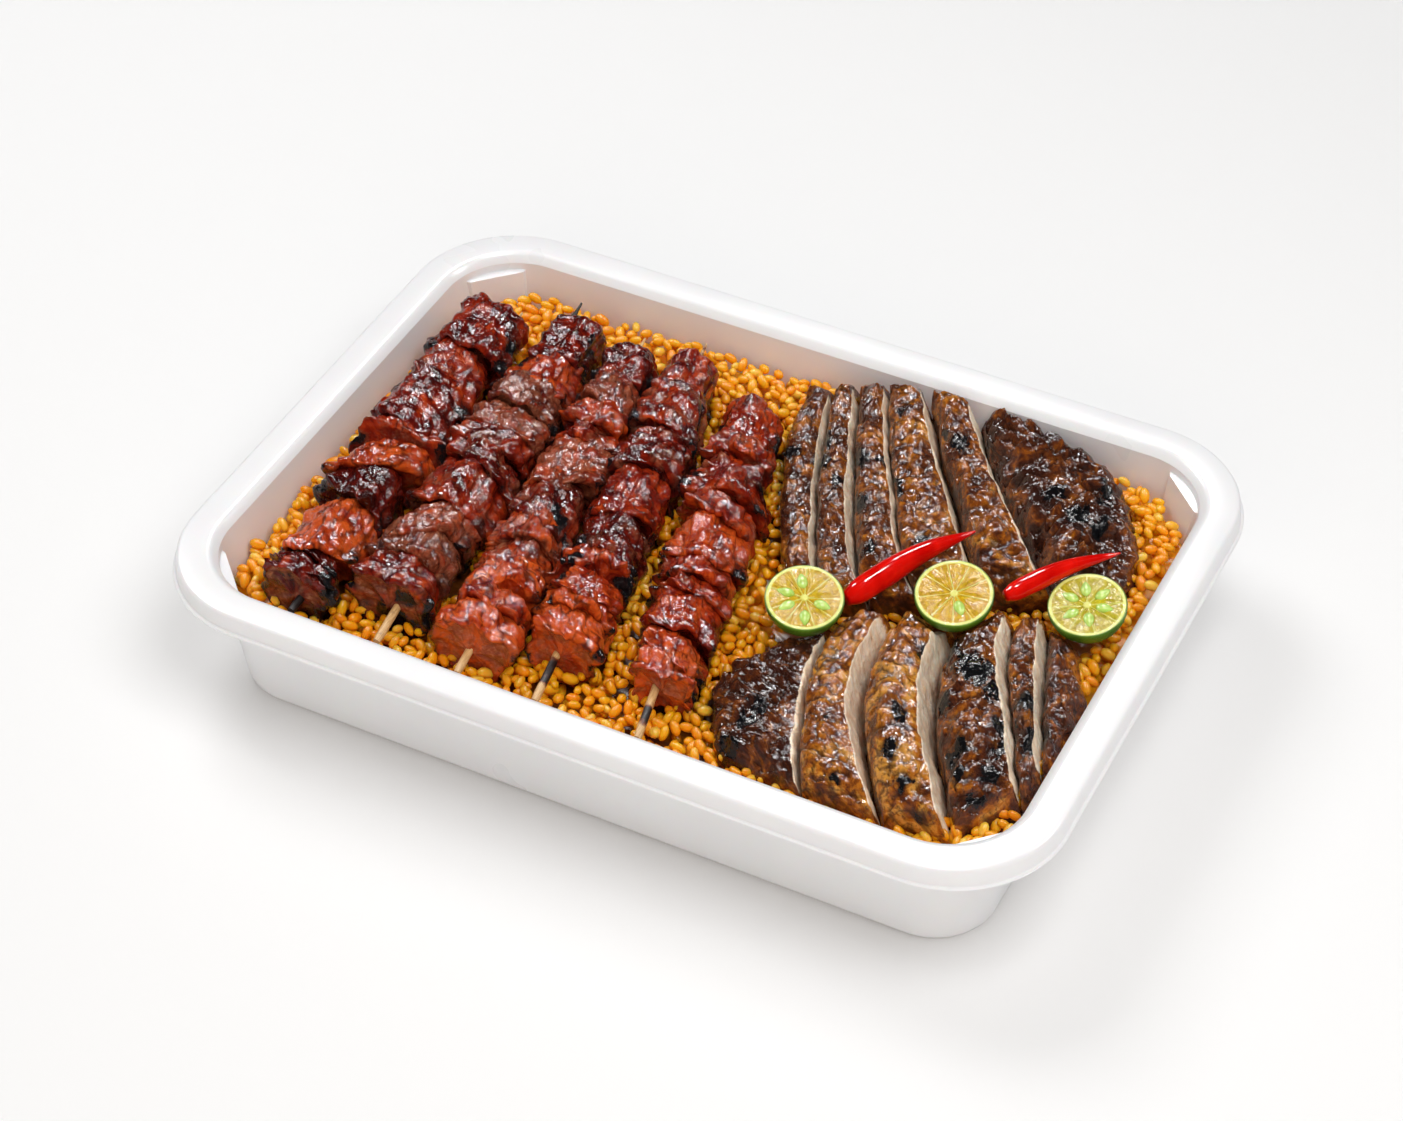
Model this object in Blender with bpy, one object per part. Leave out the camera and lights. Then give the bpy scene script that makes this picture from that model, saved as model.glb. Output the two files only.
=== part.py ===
# A takeaway meal in a white plastic tray: five pork skewers and two sliced chicken thighs on yellow rice,
# with three small citrus halves and two red chillies. Metres, +Z up, origin on the floor under the tray's centre.
import math
import random

import bmesh
import bpy
from mathutils import Matrix, Vector, noise
from mathutils.bvhtree import BVHTree

MM = 0.001

# Tray: outer rim size, rim width, skirt and lip, and how far the base stands in from the rim's edge
TRAY_LENGTH = 320 * MM
TRAY_WIDTH = 230 * MM
TRAY_HEIGHT = 53.4 * MM
RIM_WIDTH = 10.5 * MM
RIM_CORNER = 39 * MM
SKIRT_DROP = 6.5 * MM
LIP_OUT = 1.6 * MM
LIP_THICK = 0.9 * MM
WALL = 1.2 * MM
BASE_INSET_X = 19.9 * MM
BASE_INSET_Y = 16.9 * MM
BASE_CORNER = 22.6 * MM
BEVEL = 3.0 * MM
SHELF_Z = 47.6 * MM
LUG_IN = 1.3 * MM
CORNER_STEPS = 8
LUG_STEPS = (2, 6)

# Food levels
GAP = 0.3 * MM
RICE_TOP = 32.4 * MM
FOOD_FLOOR = 32.8 * MM
GRAIN = (2.9 * MM, 1.35 * MM, 1.25 * MM)
GRAIN_COUNT = 105

# Skewers, in mm from the far end to the near end: the stick's two ends, the meat's centre line,
# the cuts between its slices and each slice's radius
MEAT_Z = 46 * MM
STICK_RADIUS = 1.35 * MM
STICK_SIDES = 10
BORE_RADIUS = 1.8 * MM
MEAT_SIDES = 12

SKEWERS = {
    "skewer_1": {
        "stick": ((-117.8, 78), (-108.9, -97)),
        "meat": ((-123.2, 66), (-111.9, -90)),
        "cuts": (66, 40, 18, -8, -30, -50, -73, -90),
        "radii": (13.6, 13.2, 15.2, 15.6, 14.2, 14.4, 12.6),
    },
    "skewer_2": {
        "stick": ((-101.0, 93), (-75.8, -97)),
        "meat": ((-91.4, 76), (-80.8, -80)),
        "cuts": (76, 52, 34, 8, -14, -36, -66, -80),
        "radii": (11.0, 12.2, 15.6, 14.8, 15.0, 16.0, 14.4),
    },
    "skewer_3": {
        "stick": ((-70.3, 85), (-44.7, -98)),
        "meat": ((-66.6, 70), (-45.4, -87)),
        "cuts": (70, 52, 36, 16, -6, -28, -54, -87),
        "radii": (9.8, 11.0, 11.6, 12.4, 12.8, 12.4, 13.8),
    },
    "skewer_4": {
        "stick": ((-48.8, 92), (-15.7, -98)),
        "meat": ((-45.2, 76), (-17.9, -76)),
        "cuts": (76, 54, 33, 8, -14, -32, -52, -76),
        "radii": (11.6, 13.2, 12.6, 13.0, 12.2, 13.2, 12.6),
    },
    "skewer_5": {
        "stick": ((-12.0, 50), (21.9, -98)),
        "meat": ((-14.4, 62), (19.0, -75)),
        "cuts": (62, 40, 22, 0, -20, -38, -54, -75),
        "radii": (10.8, 12.4, 13.8, 14.0, 13.2, 12.6, 11.4),
    },
}

# Chicken: the cuts between slices in plan, from the far end to the near end, at the height CUT_Z,
# each slice's outline as shares of its width and height, the slices' tops, and the height that
# a piece's far and near ends keep as shares of the top
CUT_Z = 52 * MM
CUT_LEAN = 0.34
CUT_GAP = 0.45 * MM
FAR_CUTS = (
    ((-9, 88), (-4, 60), (7, 32), (20, 4), (33, -17)),
    ((3, 90), (12, 57), (24, 27), (36, 0), (47, -14)),
    ((10, 94), (24, 59), (36, 31), (49, 5), (60, -9)),
    ((20, 98), (36, 64), (50, 38), (63, 14), (75, -2)),
    ((33, 100), (50, 72), (65, 50), (79, 29), (92, 10)),
    ((51, 100), (69, 74), (84, 55), (99, 38), (112, 24)),
    ((76, 100), (98, 94), (114, 84), (128, 60), (131, 39)),
)
SLICE_OUTLINE = ((0, 0), (0, 0.45), (0.02, 0.72), (0.2, 0.9), (0.5, 1.0), (0.8, 1.03), (1, 0.98), (1, 0.5), (1, 0))
FAR_TOPS = (51, 54, 55.5, 57, 57.5, 53)
FAR_ENDS = (0.96, 0.62)
NEAR_CUTS = (
    ((38, -38), (29, -52), (28.5, -66), (34, -80), (44, -93)),
    ((53, -25), (57, -46), (62, -64), (68, -82), (74, -95)),
    ((70, -11), (72, -38), (79, -60), (91, -80), (101, -95)),
    ((88, -3), (94, -34), (103, -56), (115, -76), (122, -90)),
    ((107, 5), (113, -17), (122, -34), (131, -52), (138, -68)),
    ((115, 13), (122, -9), (128, -24), (134, -40), (139, -54)),
    ((127, 8), (135, -8), (140, -22), (141, -36), (141, -50)),
)
NEAR_TOPS = (50, 55, 57, 57, 52, 49)
NEAR_ENDS = (0.92, 0.5)

# Toppings: citrus halves as cut-face centre, tilt and turn; chillies as thick end, middle and tip
CITRUS_RADIUS = 13.2 * MM
CITRUS_DEPTH = 12.0 * MM
CITRUS = {
    "citrus_half_1": ((47.2, -27.0, 59.5), 12, 28),
    "citrus_half_2": ((90.5, -3.4, 60.0), 14, 10),
    "citrus_half_3": ((130.0, 16.6, 54.6), 12, -14),
}
CHILLI_SIDES = 10
CHILLI_GIRTH = ((0, 0.45), (0.03, 0.8), (0.10, 1.0), (0.3, 1.02), (0.5, 0.84), (0.7, 0.6), (0.88, 0.32), (1, 0.07))
CHILLIES = {
    "chilli_1": (((57.2, -15.8, 53.4), (71.5, 9.5, 58.5), (84.9, 27.0, 60.5)), 3.9),
    "chilli_2": (((104.5, 7.2, 55.6), (117.5, 26.5, 57.5), (131.6, 41.5, 58.0)), 3.1),
}

WHITE_PLASTIC = ((0.87, 0.87, 0.88), 0.32)
RICE = ((0.86, 0.45, 0.06), 0.45)
PORK = ((0.36, 0.055, 0.025), 0.28)
CHICKEN = ((0.27, 0.12, 0.05), 0.35)
BAMBOO = ((0.72, 0.47, 0.22), 0.6)
CITRUS_FLESH = ((0.62, 0.66, 0.10), 0.3)
CHILLI_RED = ((0.78, 0.02, 0.015), 0.2)


def clear_scene():
    for obj in list(bpy.data.objects):
        bpy.data.objects.remove(obj, do_unlink=True)


def material(name, look):
    colour, roughness = look
    made = bpy.data.materials.new(name)
    made.use_nodes = True
    shader = made.node_tree.nodes["Principled BSDF"]
    shader.inputs["Base Color"].default_value = (*colour, 1)
    shader.inputs["Roughness"].default_value = roughness
    shader.inputs["Metallic"].default_value = 0
    return made


def new_object(name, bm, look):
    """The bmesh as a named object with outward faces, its material and its modelling collection."""
    bmesh.ops.recalc_face_normals(bm, faces=bm.faces)
    mesh = bpy.data.meshes.new(name)
    bm.to_mesh(mesh)
    bm.free()
    mesh.materials.append(look)
    mesh.shade_smooth()
    mesh.set_sharp_from_angle(angle=math.radians(40))
    obj = bpy.data.objects.new(name, mesh)
    bpy.context.scene.collection.objects.link(obj)
    return obj


def loft(bm, rings, closed=False):
    """Quads between rings of equal length; capped at both ends, or joined last to first when closed."""
    loops = [[bm.verts.new(point) for point in ring] for ring in rings]
    count = len(loops[0])
    pairs = list(zip(loops, loops[1:]))
    if closed:
        pairs.append((loops[-1], loops[0]))
    for lower, upper in pairs:
        for i in range(count):
            j = (i + 1) % count
            bm.faces.new((lower[i], lower[j], upper[j], upper[i]))
    if not closed:
        bm.faces.new(list(reversed(loops[0])))
        bm.faces.new(loops[-1])


def mix(a, b, t):
    return a + (b - a) * t


def along(points, t):
    """A point at share t of a smooth curve through the given points."""
    spans = len(points) - 1
    at = min(max(t, 0.0), 1.0) * spans
    i = min(int(at), spans - 1)
    u = at - i
    p1, p2 = Vector(points[i]), Vector(points[i + 1])
    p0 = Vector(points[i - 1]) if i else p1 * 2 - p2
    p3 = Vector(points[i + 2]) if i + 2 <= spans else p2 * 2 - p1
    square = 2 * p0 - 5 * p1 + 4 * p2 - p3
    cube = 3 * p1 - p0 - 3 * p2 + p3
    return 0.5 * (2 * p1 + (p2 - p0) * u + square * u**2 + cube * u**3)


# Tray

def tray_ring(inset_x, inset_y, radius, z, lug=0.0):
    """A rounded rectangle at height z, inset from the rim's edge.

    A lug cuts each corner flat and stands in by that much.
    """
    half_x = TRAY_LENGTH / 2 - inset_x
    half_y = TRAY_WIDTH / 2 - inset_y
    first, last = LUG_STEPS
    ring = []
    for sign_x, sign_y, start in ((1, 1, 0), (-1, 1, 90), (-1, -1, 180), (1, -1, 270)):
        centre = Vector((sign_x * (half_x - radius), sign_y * (half_y - radius)))
        arc = []
        for step in range(CORNER_STEPS + 1):
            angle = math.radians(start + 90 * step / CORNER_STEPS)
            arc.append(centre + radius * Vector((math.cos(angle), math.sin(angle))))
        if lug:
            inward = -Vector((sign_x, sign_y)).normalized() * lug
            ends = arc[first] + inward, arc[last] + inward
            for step in range(first, last + 1):
                arc[step] = ends[0].lerp(ends[1], (step - first) / (last - first))
        ring += [(point.x, point.y, z) for point in arc]
    return ring


def inner_wall(z, gap=0.0, lug=LUG_IN):
    """The tray's inner wall at height z, or a ring that keeps a gap inside it."""
    low, high = WALL + 4 * MM, TRAY_HEIGHT - BEVEL
    t = (z - low) / (high - low)
    inset_x = mix(BASE_INSET_X + WALL, RIM_WIDTH + BEVEL, t) + gap
    inset_y = mix(BASE_INSET_Y + WALL, RIM_WIDTH + BEVEL, t) + gap
    radius = mix(BASE_CORNER - WALL, RIM_CORNER - RIM_WIDTH - BEVEL + 1.5 * MM, t) - gap
    return tray_ring(inset_x, inset_y, radius, z, lug)


def inside_tray(spot, margin=1.2 * MM):
    """The place nearest to spot that keeps this margin from the tray's inner walls and corner lugs."""
    low, high = WALL + 4 * MM, TRAY_HEIGHT - BEVEL
    t = min((spot.z - low) / (high - low), 1.15)
    half_x = TRAY_LENGTH / 2 - mix(BASE_INSET_X + WALL, RIM_WIDTH + BEVEL, t) - margin
    half_y = TRAY_WIDTH / 2 - mix(BASE_INSET_Y + WALL, RIM_WIDTH + BEVEL, t) - margin
    radius = BASE_CORNER
    x, y = min(abs(spot.x), half_x), min(abs(spot.y), half_y)
    over = Vector((x - half_x + radius, y - half_y + radius))
    if over.x > 0 and over.y > 0 and over.length > radius:
        share = radius / over.length
        x, y = half_x - radius + over.x * share, half_y - radius + over.y * share
    past_lug = x + y - (half_x + half_y - 0.72 * radius - LUG_IN * math.sqrt(2))
    if past_lug > 0:
        x, y = x - past_lug / 2, y - past_lug / 2
    return Vector((math.copysign(x, spot.x), math.copysign(y, spot.y), spot.z))


def build_tray(look):
    top = TRAY_HEIGHT
    wall_inset = RIM_WIDTH + BEVEL - WALL
    wall_corner = RIM_CORNER - wall_inset + 1.5 * MM
    inner_corner = RIM_CORNER - RIM_WIDTH + 1.5 * MM
    lip_z = top - SKIRT_DROP
    rings = [
        tray_ring(BASE_INSET_X + 3 * MM, BASE_INSET_Y + 3 * MM, BASE_CORNER - 3 * MM, 0),
        tray_ring(BASE_INSET_X + 0.9 * MM, BASE_INSET_Y + 0.9 * MM, BASE_CORNER - 0.9 * MM, 0.8 * MM),
        tray_ring(BASE_INSET_X, BASE_INSET_Y, BASE_CORNER, 3 * MM),
        tray_ring(wall_inset, wall_inset, wall_corner, top - 3 * MM),
        tray_ring(wall_inset - 0.6 * MM, wall_inset - 0.6 * MM, wall_corner, top - WALL),
        tray_ring(WALL, WALL, RIM_CORNER - WALL, top - WALL),
        tray_ring(WALL - 0.4 * MM, WALL - 0.4 * MM, RIM_CORNER - WALL, lip_z - LIP_THICK),
        tray_ring(-LIP_OUT, -LIP_OUT, RIM_CORNER + LIP_OUT, lip_z - LIP_THICK),
        tray_ring(-LIP_OUT, -LIP_OUT, RIM_CORNER + LIP_OUT, lip_z),
        tray_ring(-0.4 * MM, -0.4 * MM, RIM_CORNER + 0.4 * MM, lip_z),
        tray_ring(0, 0, RIM_CORNER, top - 1.4 * MM),
        tray_ring(0.5 * MM, 0.5 * MM, RIM_CORNER - 0.5 * MM, top - 0.4 * MM),
        tray_ring(1.5 * MM, 1.5 * MM, RIM_CORNER - 1.5 * MM, top),
        tray_ring(RIM_WIDTH - 0.6 * MM, RIM_WIDTH - 0.6 * MM, inner_corner + 0.6 * MM, top),
        tray_ring(RIM_WIDTH + 1.2 * MM, RIM_WIDTH + 1.2 * MM, inner_corner - 1.2 * MM, top - 0.8 * MM),
        tray_ring(RIM_WIDTH + BEVEL, RIM_WIDTH + BEVEL, inner_corner - BEVEL, top - BEVEL),
        inner_wall(SHELF_Z, 0, 0),
        inner_wall(SHELF_Z - 0.3 * MM),
        inner_wall(WALL + 4 * MM),
        inner_wall(WALL + 4 * MM, 1.2 * MM),
        inner_wall(WALL + 4 * MM, 4 * MM),
    ]
    rings[-2] = [(x, y, WALL + 1.2 * MM) for x, y, _ in rings[-2]]
    rings[-1] = [(x, y, WALL) for x, y, _ in rings[-1]]
    bm = bmesh.new()
    loft(bm, rings)
    return new_object("tray", bm, look)


# Skewers

def meat_line(skewer, y):
    (x0, y0), (x1, y1) = skewer["meat"]
    return mix(x0, x1, (y - y0) / (y1 - y0)) * MM


def stick_line(skewer, y):
    (x0, y0), (x1, y1) = skewer["stick"]
    return mix(x0, x1, (y - y0) / (y1 - y0)) * MM


def meat_radius(skewer, y):
    """The nominal radius of the slice at this place along the skewer."""
    for index, radius in enumerate(skewer["radii"]):
        if y >= skewer["cuts"][index + 1]:
            return radius * MM
    return skewer["radii"][-1] * MM


def lane(name, y):
    """The X range that this skewer's meat keeps to, halfway to the meat on either side."""
    names = list(SKEWERS)
    at = names.index(name)
    here, reach = meat_line(SKEWERS[name], y), meat_radius(SKEWERS[name], y)
    low, high = -1.0, 1.0
    if at:
        other = SKEWERS[names[at - 1]]
        low = (meat_line(other, y) + meat_radius(other, y) + here - reach) / 2 + GAP
    if at + 1 < len(names):
        other = SKEWERS[names[at + 1]]
        high = (meat_line(other, y) - meat_radius(other, y) + here + reach) / 2 - GAP
    return low, high


def build_stick(name, skewer, look):
    (_, far), (_, near) = skewer["stick"]
    pointed = name != "skewer_5"
    stations = [(far, 0.3 if pointed else 0.9), (far - 14, 1.0), (near, 1.0), (near - 0.2, 0.8)]
    rings = []
    for y, share in stations:
        centre = Vector((stick_line(skewer, y), y * MM, MEAT_Z))
        ring = []
        for side in range(STICK_SIDES):
            angle = math.tau * side / STICK_SIDES
            ring.append(centre + share * STICK_RADIUS * Vector((math.cos(angle), 0, math.sin(angle))))
        rings.append(ring)
    bm = bmesh.new()
    loft(bm, rings)
    return new_object(f"{name}_stick", bm, look)


def build_chunk(name, skewer, index, look, seed):
    """One folded slice of pork: a lumpy ring threaded on the stick, cut flat against its neighbours."""
    far, near = skewer["cuts"][index], skewer["cuts"][index + 1]
    radius = skewer["radii"][index] * MM
    swell = ((0.0, 0.80), (0.28, 1.05), (0.72, 0.99), (1.0, 0.76))
    outer, inner = [], []
    for share, scale in swell:
        y = mix(far * MM - 0.2 * MM, near * MM + 0.2 * MM, share)
        centre_x = meat_line(skewer, y / MM)
        low, high = lane(name.rsplit("_pork_", 1)[0], y / MM)
        ring = []
        for side in range(MEAT_SIDES):
            angle = math.tau * side / MEAT_SIDES
            bump = noise.noise(Vector((math.cos(angle) * 1.3 + seed, math.sin(angle) * 1.3, y * 90)))
            reach = radius * scale * (1 + 0.17 * bump)
            x = min(max(centre_x + reach * math.cos(angle), low), high)
            z = MEAT_Z + 0.92 * reach * math.sin(angle)
            ring.append(inside_tray(Vector((x, y, max(z, FOOD_FLOOR)))))
        outer.append(ring)
    for ring in (outer[-1], outer[0]):
        y = ring[0].y
        centre_x = stick_line(skewer, y / MM)
        bore = []
        for side in range(MEAT_SIDES):
            angle = math.tau * side / MEAT_SIDES
            bore.append((centre_x + BORE_RADIUS * math.cos(angle), y, MEAT_Z + BORE_RADIUS * math.sin(angle)))
        inner.append(bore)
    bm = bmesh.new()
    loft(bm, outer + inner, closed=True)
    return new_object(name, bm, look)


def build_skewers(pork, bamboo):
    made = []
    for number, (name, skewer) in enumerate(SKEWERS.items()):
        made.append(build_stick(name, skewer, bamboo))
        for index in range(len(skewer["radii"])):
            seed = 3.1 * number + 0.7 * index
            made.append(build_chunk(f"{name}_pork_{index + 1}", skewer, index, pork, seed))
    return made


# Toppings

def citrus_matrix(name):
    (x, y, z), tilt, turn = CITRUS[name]
    place = Matrix.Translation(Vector((x, y, z)) * MM)
    return place @ Matrix.Rotation(math.radians(turn), 4, "Z") @ Matrix.Rotation(math.radians(tilt), 4, "X")


def build_citrus(name, look):
    sides = 18
    stations = [(0.55, 0.0), (0.97, 0.0), (1.0, -0.10), (0.93, -0.42), (0.72, -0.74), (0.38, -0.96)]
    rings = []
    for share, down in stations:
        ring = []
        for side in range(sides):
            angle = math.tau * side / sides
            reach = share * CITRUS_RADIUS
            ring.append((reach * math.cos(angle), reach * math.sin(angle), down * CITRUS_DEPTH))
        rings.append(ring)
    bm = bmesh.new()
    loft(bm, rings)
    bm.transform(citrus_matrix(name))
    return new_object(name, bm, look)


def chilli_stations(name):
    """Centre and radius at steps along the pod, from its rounded thick end to its tip."""
    points, radius = CHILLIES[name]
    found = []
    for share, scale in CHILLI_GIRTH:
        found.append((along(points, share) * MM, radius * scale * MM))
    return found


def build_chilli(name, look):
    points, _ = CHILLIES[name]
    run = Vector(points[-1]) - Vector(points[0])
    side_way = run.cross(Vector((0, 0, 1))).normalized()
    up_way = side_way.cross(run).normalized()
    rings = []
    for centre, radius in chilli_stations(name):
        ring = []
        for side in range(CHILLI_SIDES):
            angle = math.tau * side / CHILLI_SIDES
            ring.append(centre + radius * (math.cos(angle) * side_way + math.sin(angle) * up_way))
        rings.append(ring)
    bm = bmesh.new()
    loft(bm, rings)
    return new_object(name, bm, look)


# Chicken

def topping_limit(x, y):
    """How high chicken may stand at this place, so that it stays below the citrus and the chillies."""
    limit = 1.0
    for name in CITRUS:
        centre = Vector(CITRUS[name][0]) * MM
        away = math.hypot(x - centre.x, y - centre.y)
        reach = CITRUS_RADIUS + 2.5 * MM
        if away < reach:
            bowl = CITRUS_DEPTH * math.sqrt(1 - (away / reach) ** 2)
            limit = min(limit, centre.z - bowl - 2.2 * MM)
    for name in CHILLIES:
        stations = chilli_stations(name)
        for (start, wide), (end, thin) in zip(stations, stations[1:]):
            run = end - start
            share = (Vector((x, y)) - start.to_2d()).dot(run.to_2d()) / run.to_2d().length_squared
            share = min(max(share, 0.0), 1.0)
            centre = start + run * share
            radius = mix(wide, thin, share) + 2.2 * MM
            away = math.hypot(x - centre.x, y - centre.y)
            if away < radius:
                limit = min(limit, centre.z - radius + 0.6 * MM)
    return limit


def cut_face(points, t, z, offset):
    """A point on the leaning cut through these plan points, at share t and height z, offset to the right."""
    here = along(points, t)
    ahead = along(points, t + 0.02) - along(points, t - 0.02)
    right = Vector((-ahead.y, ahead.x)).normalized()
    if right.x < 0:
        right = -right
    spot = here * MM + right * (CUT_LEAN * (CUT_Z - z) + offset)
    return Vector((spot.x, spot.y, z))


def build_slice(name, left, right, top, ends, look):
    """One chicken slice between two leaning cuts, domed along its length, with a soft left shoulder."""
    far_share, near_share = ends
    rings = []
    for t in (0.02, 0.08, 0.2, 0.35, 0.5, 0.65, 0.8, 0.92, 0.98):
        tip = min(1.0, (min(t, 1 - t) / 0.16 + 0.12) ** 0.6)
        sides = mix(far_share, near_share, t)
        dome = tip * (1 - (1 - sides) * abs(2 * t - 1) ** 2)
        height = (top * MM - FOOD_FLOOR) * max(dome, 0.2)
        ring = []
        for across, share in SLICE_OUTLINE:
            z = FOOD_FLOOR + height * share
            low = cut_face(left, t, z, CUT_GAP)
            high = cut_face(right, t, z, -CUT_GAP)
            spot = low.lerp(high, across)
            if share > 0.7:
                bump = noise.noise(Vector((spot.x, spot.y, 0)) * 120) + 0.5 * noise.noise(spot * 300)
                spot.z += 1.9 * MM * bump
            spot.z = max(min(spot.z, topping_limit(spot.x, spot.y)), FOOD_FLOOR + 0.8 * MM * (share > 0))
            ring.append(inside_tray(spot))
        rings.append(ring)
    bm = bmesh.new()
    loft(bm, rings)
    return new_object(name, bm, look)


def build_chicken(look):
    made = []
    pieces = (("far", FAR_CUTS, FAR_TOPS, FAR_ENDS), ("near", NEAR_CUTS, NEAR_TOPS, NEAR_ENDS))
    for piece, cuts, tops, ends in pieces:
        for index, top in enumerate(tops):
            name = f"chicken_{piece}_slice_{index + 1}"
            made.append(build_slice(name, cuts[index], cuts[index + 1], top, ends, look))
    return made


# Rice

def tree_of(objects):
    """One search tree over these objects' triangles."""
    points, faces = [], []
    for obj in objects:
        first = len(points)
        points += [tuple(v.co) for v in obj.data.vertices]
        faces += [[first + i for i in polygon.vertices] for polygon in obj.data.polygons]
    return BVHTree.FromPolygons(points, faces)


def open_spots(food, count):
    """Places on the rice with nothing over them, spread by a seeded draw."""
    draw = random.Random(11)
    tree = tree_of(food)
    down = Vector((0, 0, -1))
    half_x = TRAY_LENGTH / 2 - BASE_INSET_X - 4 * MM
    half_y = TRAY_WIDTH / 2 - BASE_INSET_Y - 3.5 * MM
    spots = []
    for _ in range(40000):
        if len(spots) == count:
            break
        x, y = draw.uniform(-half_x, half_x), draw.uniform(-half_y, half_y)
        if abs(x) > half_x - 18 * MM and abs(y) > half_y - 18 * MM:
            continue
        around = [(x, y)] + [(x + 4.2 * MM * math.cos(a), y + 4.2 * MM * math.sin(a)) for a in range(8)]
        if any(tree.ray_cast(Vector((u, v, 0.2)), down)[0] for u, v in around):
            continue
        if any(math.hypot(x - u, y - v) < 3.6 * MM for u, v in spots):
            continue
        spots.append((x, y))
    return spots


def build_rice(food, look):
    low = WALL + 4 * MM
    gap = 1.3 * GAP
    rings = [
        [(x, y, WALL + gap) for x, y, _ in inner_wall(low, 4 * MM + gap)],
        [(x, y, WALL + 1.2 * MM + gap) for x, y, _ in inner_wall(low, 1.2 * MM + 2 * gap)],
        inner_wall(low + gap, gap),
        inner_wall(RICE_TOP - 1 * MM, gap),
        [(x, y, RICE_TOP) for x, y, _ in inner_wall(RICE_TOP, 1.2 * MM + gap)],
    ]
    bm = bmesh.new()
    loft(bm, rings)
    heap = new_object("rice", bm, look)
    grains = bpy.data.collections.new("rice_grains")
    grains.hide_render = True
    bpy.context.scene.collection.children.link(grains)
    draw = random.Random(5)
    for x, y in open_spots(food, GRAIN_COUNT):
        bm = bmesh.new()
        bmesh.ops.create_icosphere(bm, subdivisions=1, radius=1)
        spin = Matrix.Rotation(draw.uniform(0, math.pi), 4, "Z")
        turn = spin @ Matrix.Rotation(draw.uniform(-0.35, 0.35), 4, "Y")
        place = Matrix.Translation((x, y, RICE_TOP + draw.uniform(0.2, 0.7) * MM))
        bm.transform(place @ turn @ Matrix.Diagonal((*GRAIN, 1)))
        mesh = bpy.data.meshes.new("grain")
        bm.to_mesh(mesh)
        bm.free()
        grains.objects.link(bpy.data.objects.new("grain", mesh))
    join = heap.modifiers.new("grains", "BOOLEAN")
    join.operation = "UNION"
    join.solver = "MANIFOLD"
    join.operand_type = "COLLECTION"
    join.collection = grains
    with bpy.context.temp_override(object=heap, active_object=heap):
        bpy.ops.object.modifier_apply(modifier="grains")
    for grain in list(grains.objects):
        bpy.data.objects.remove(grain, do_unlink=True)
    bpy.data.collections.remove(grains)
    return heap


def main():
    clear_scene()
    build_tray(material("white_plastic", WHITE_PLASTIC))
    food = build_skewers(material("glazed_pork", PORK), material("bamboo", BAMBOO))
    citrus = material("citrus", CITRUS_FLESH)
    chilli = material("chilli", CHILLI_RED)
    food += [build_citrus(name, citrus) for name in CITRUS]
    food += [build_chilli(name, chilli) for name in CHILLIES]
    food += build_chicken(material("grilled_chicken", CHICKEN))
    build_rice(food, material("yellow_rice", RICE))


main()
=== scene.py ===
import math

import bpy
import numpy as np
from mathutils import Matrix, Vector
from mathutils.bvhtree import BVHTree


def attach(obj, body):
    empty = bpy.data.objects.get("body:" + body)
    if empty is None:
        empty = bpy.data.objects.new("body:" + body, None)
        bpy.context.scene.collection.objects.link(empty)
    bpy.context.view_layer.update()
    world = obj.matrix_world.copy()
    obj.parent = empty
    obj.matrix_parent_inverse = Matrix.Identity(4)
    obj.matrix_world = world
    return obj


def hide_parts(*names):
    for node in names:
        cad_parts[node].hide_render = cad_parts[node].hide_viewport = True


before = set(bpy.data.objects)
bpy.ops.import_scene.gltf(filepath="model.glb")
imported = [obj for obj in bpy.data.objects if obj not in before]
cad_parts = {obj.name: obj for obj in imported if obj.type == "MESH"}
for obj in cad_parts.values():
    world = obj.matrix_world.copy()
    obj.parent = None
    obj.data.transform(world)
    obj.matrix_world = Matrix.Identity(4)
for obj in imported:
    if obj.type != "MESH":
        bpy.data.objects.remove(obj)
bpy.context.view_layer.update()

MM = 0.001

# The photograph's frame and camera
PHOTO_WIDTH = 1403
PHOTO_HEIGHT = 1121
SENSOR_MM = 36.0
LENS_MM = 84.862
CAMERA_PLACE = (0.3746, -0.75232, 0.8029)
CAMERA_TURN = 26.738
CAMERA_DOWN = 42.442

# Tray, in mm: the solid's own sizes, with rounder corners
TRAY_LENGTH = 320.0
TRAY_WIDTH = 230.0
TRAY_HEIGHT = 53.4
RIM_WIDTH = 10.5
RIM_CORNER = 39.0
SKIRT_DROP = 6.5
LIP_OUT = 1.6
LIP_THICK = 0.9
WALL = 1.2
BASE_INSET_X = 19.9
BASE_INSET_Y = 16.9
BASE_CORNER = 22.6
BEVEL = 3.0
RIM_ROUND = 1.5
FOOT_ROUND = 3.0
WALL_LOW = WALL + 4
WALL_HIGH = TRAY_HEIGHT - BEVEL
SHELF_Z = 47.6
LUG_IN = 1.3
CORNER_STEPS = 32
LUG_STEPS = (8, 24)

# Food levels, in mm
RICE_TOP = 32.4
FOOD_FLOOR = 32.8
GRAIN_LONG = 2.8
GRAIN_WIDE = 1.72
GRAIN_STEP = 2.0
GRAIN_SHARES = (0.36, 0.48, 0.16)
LAYER_CHANCES = (1.0, 0.9, 0.62, 0.3)
HEAP_LIMIT = 39.5
MEAT_Z = 46.0
STICK_RADIUS = 1.35

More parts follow.
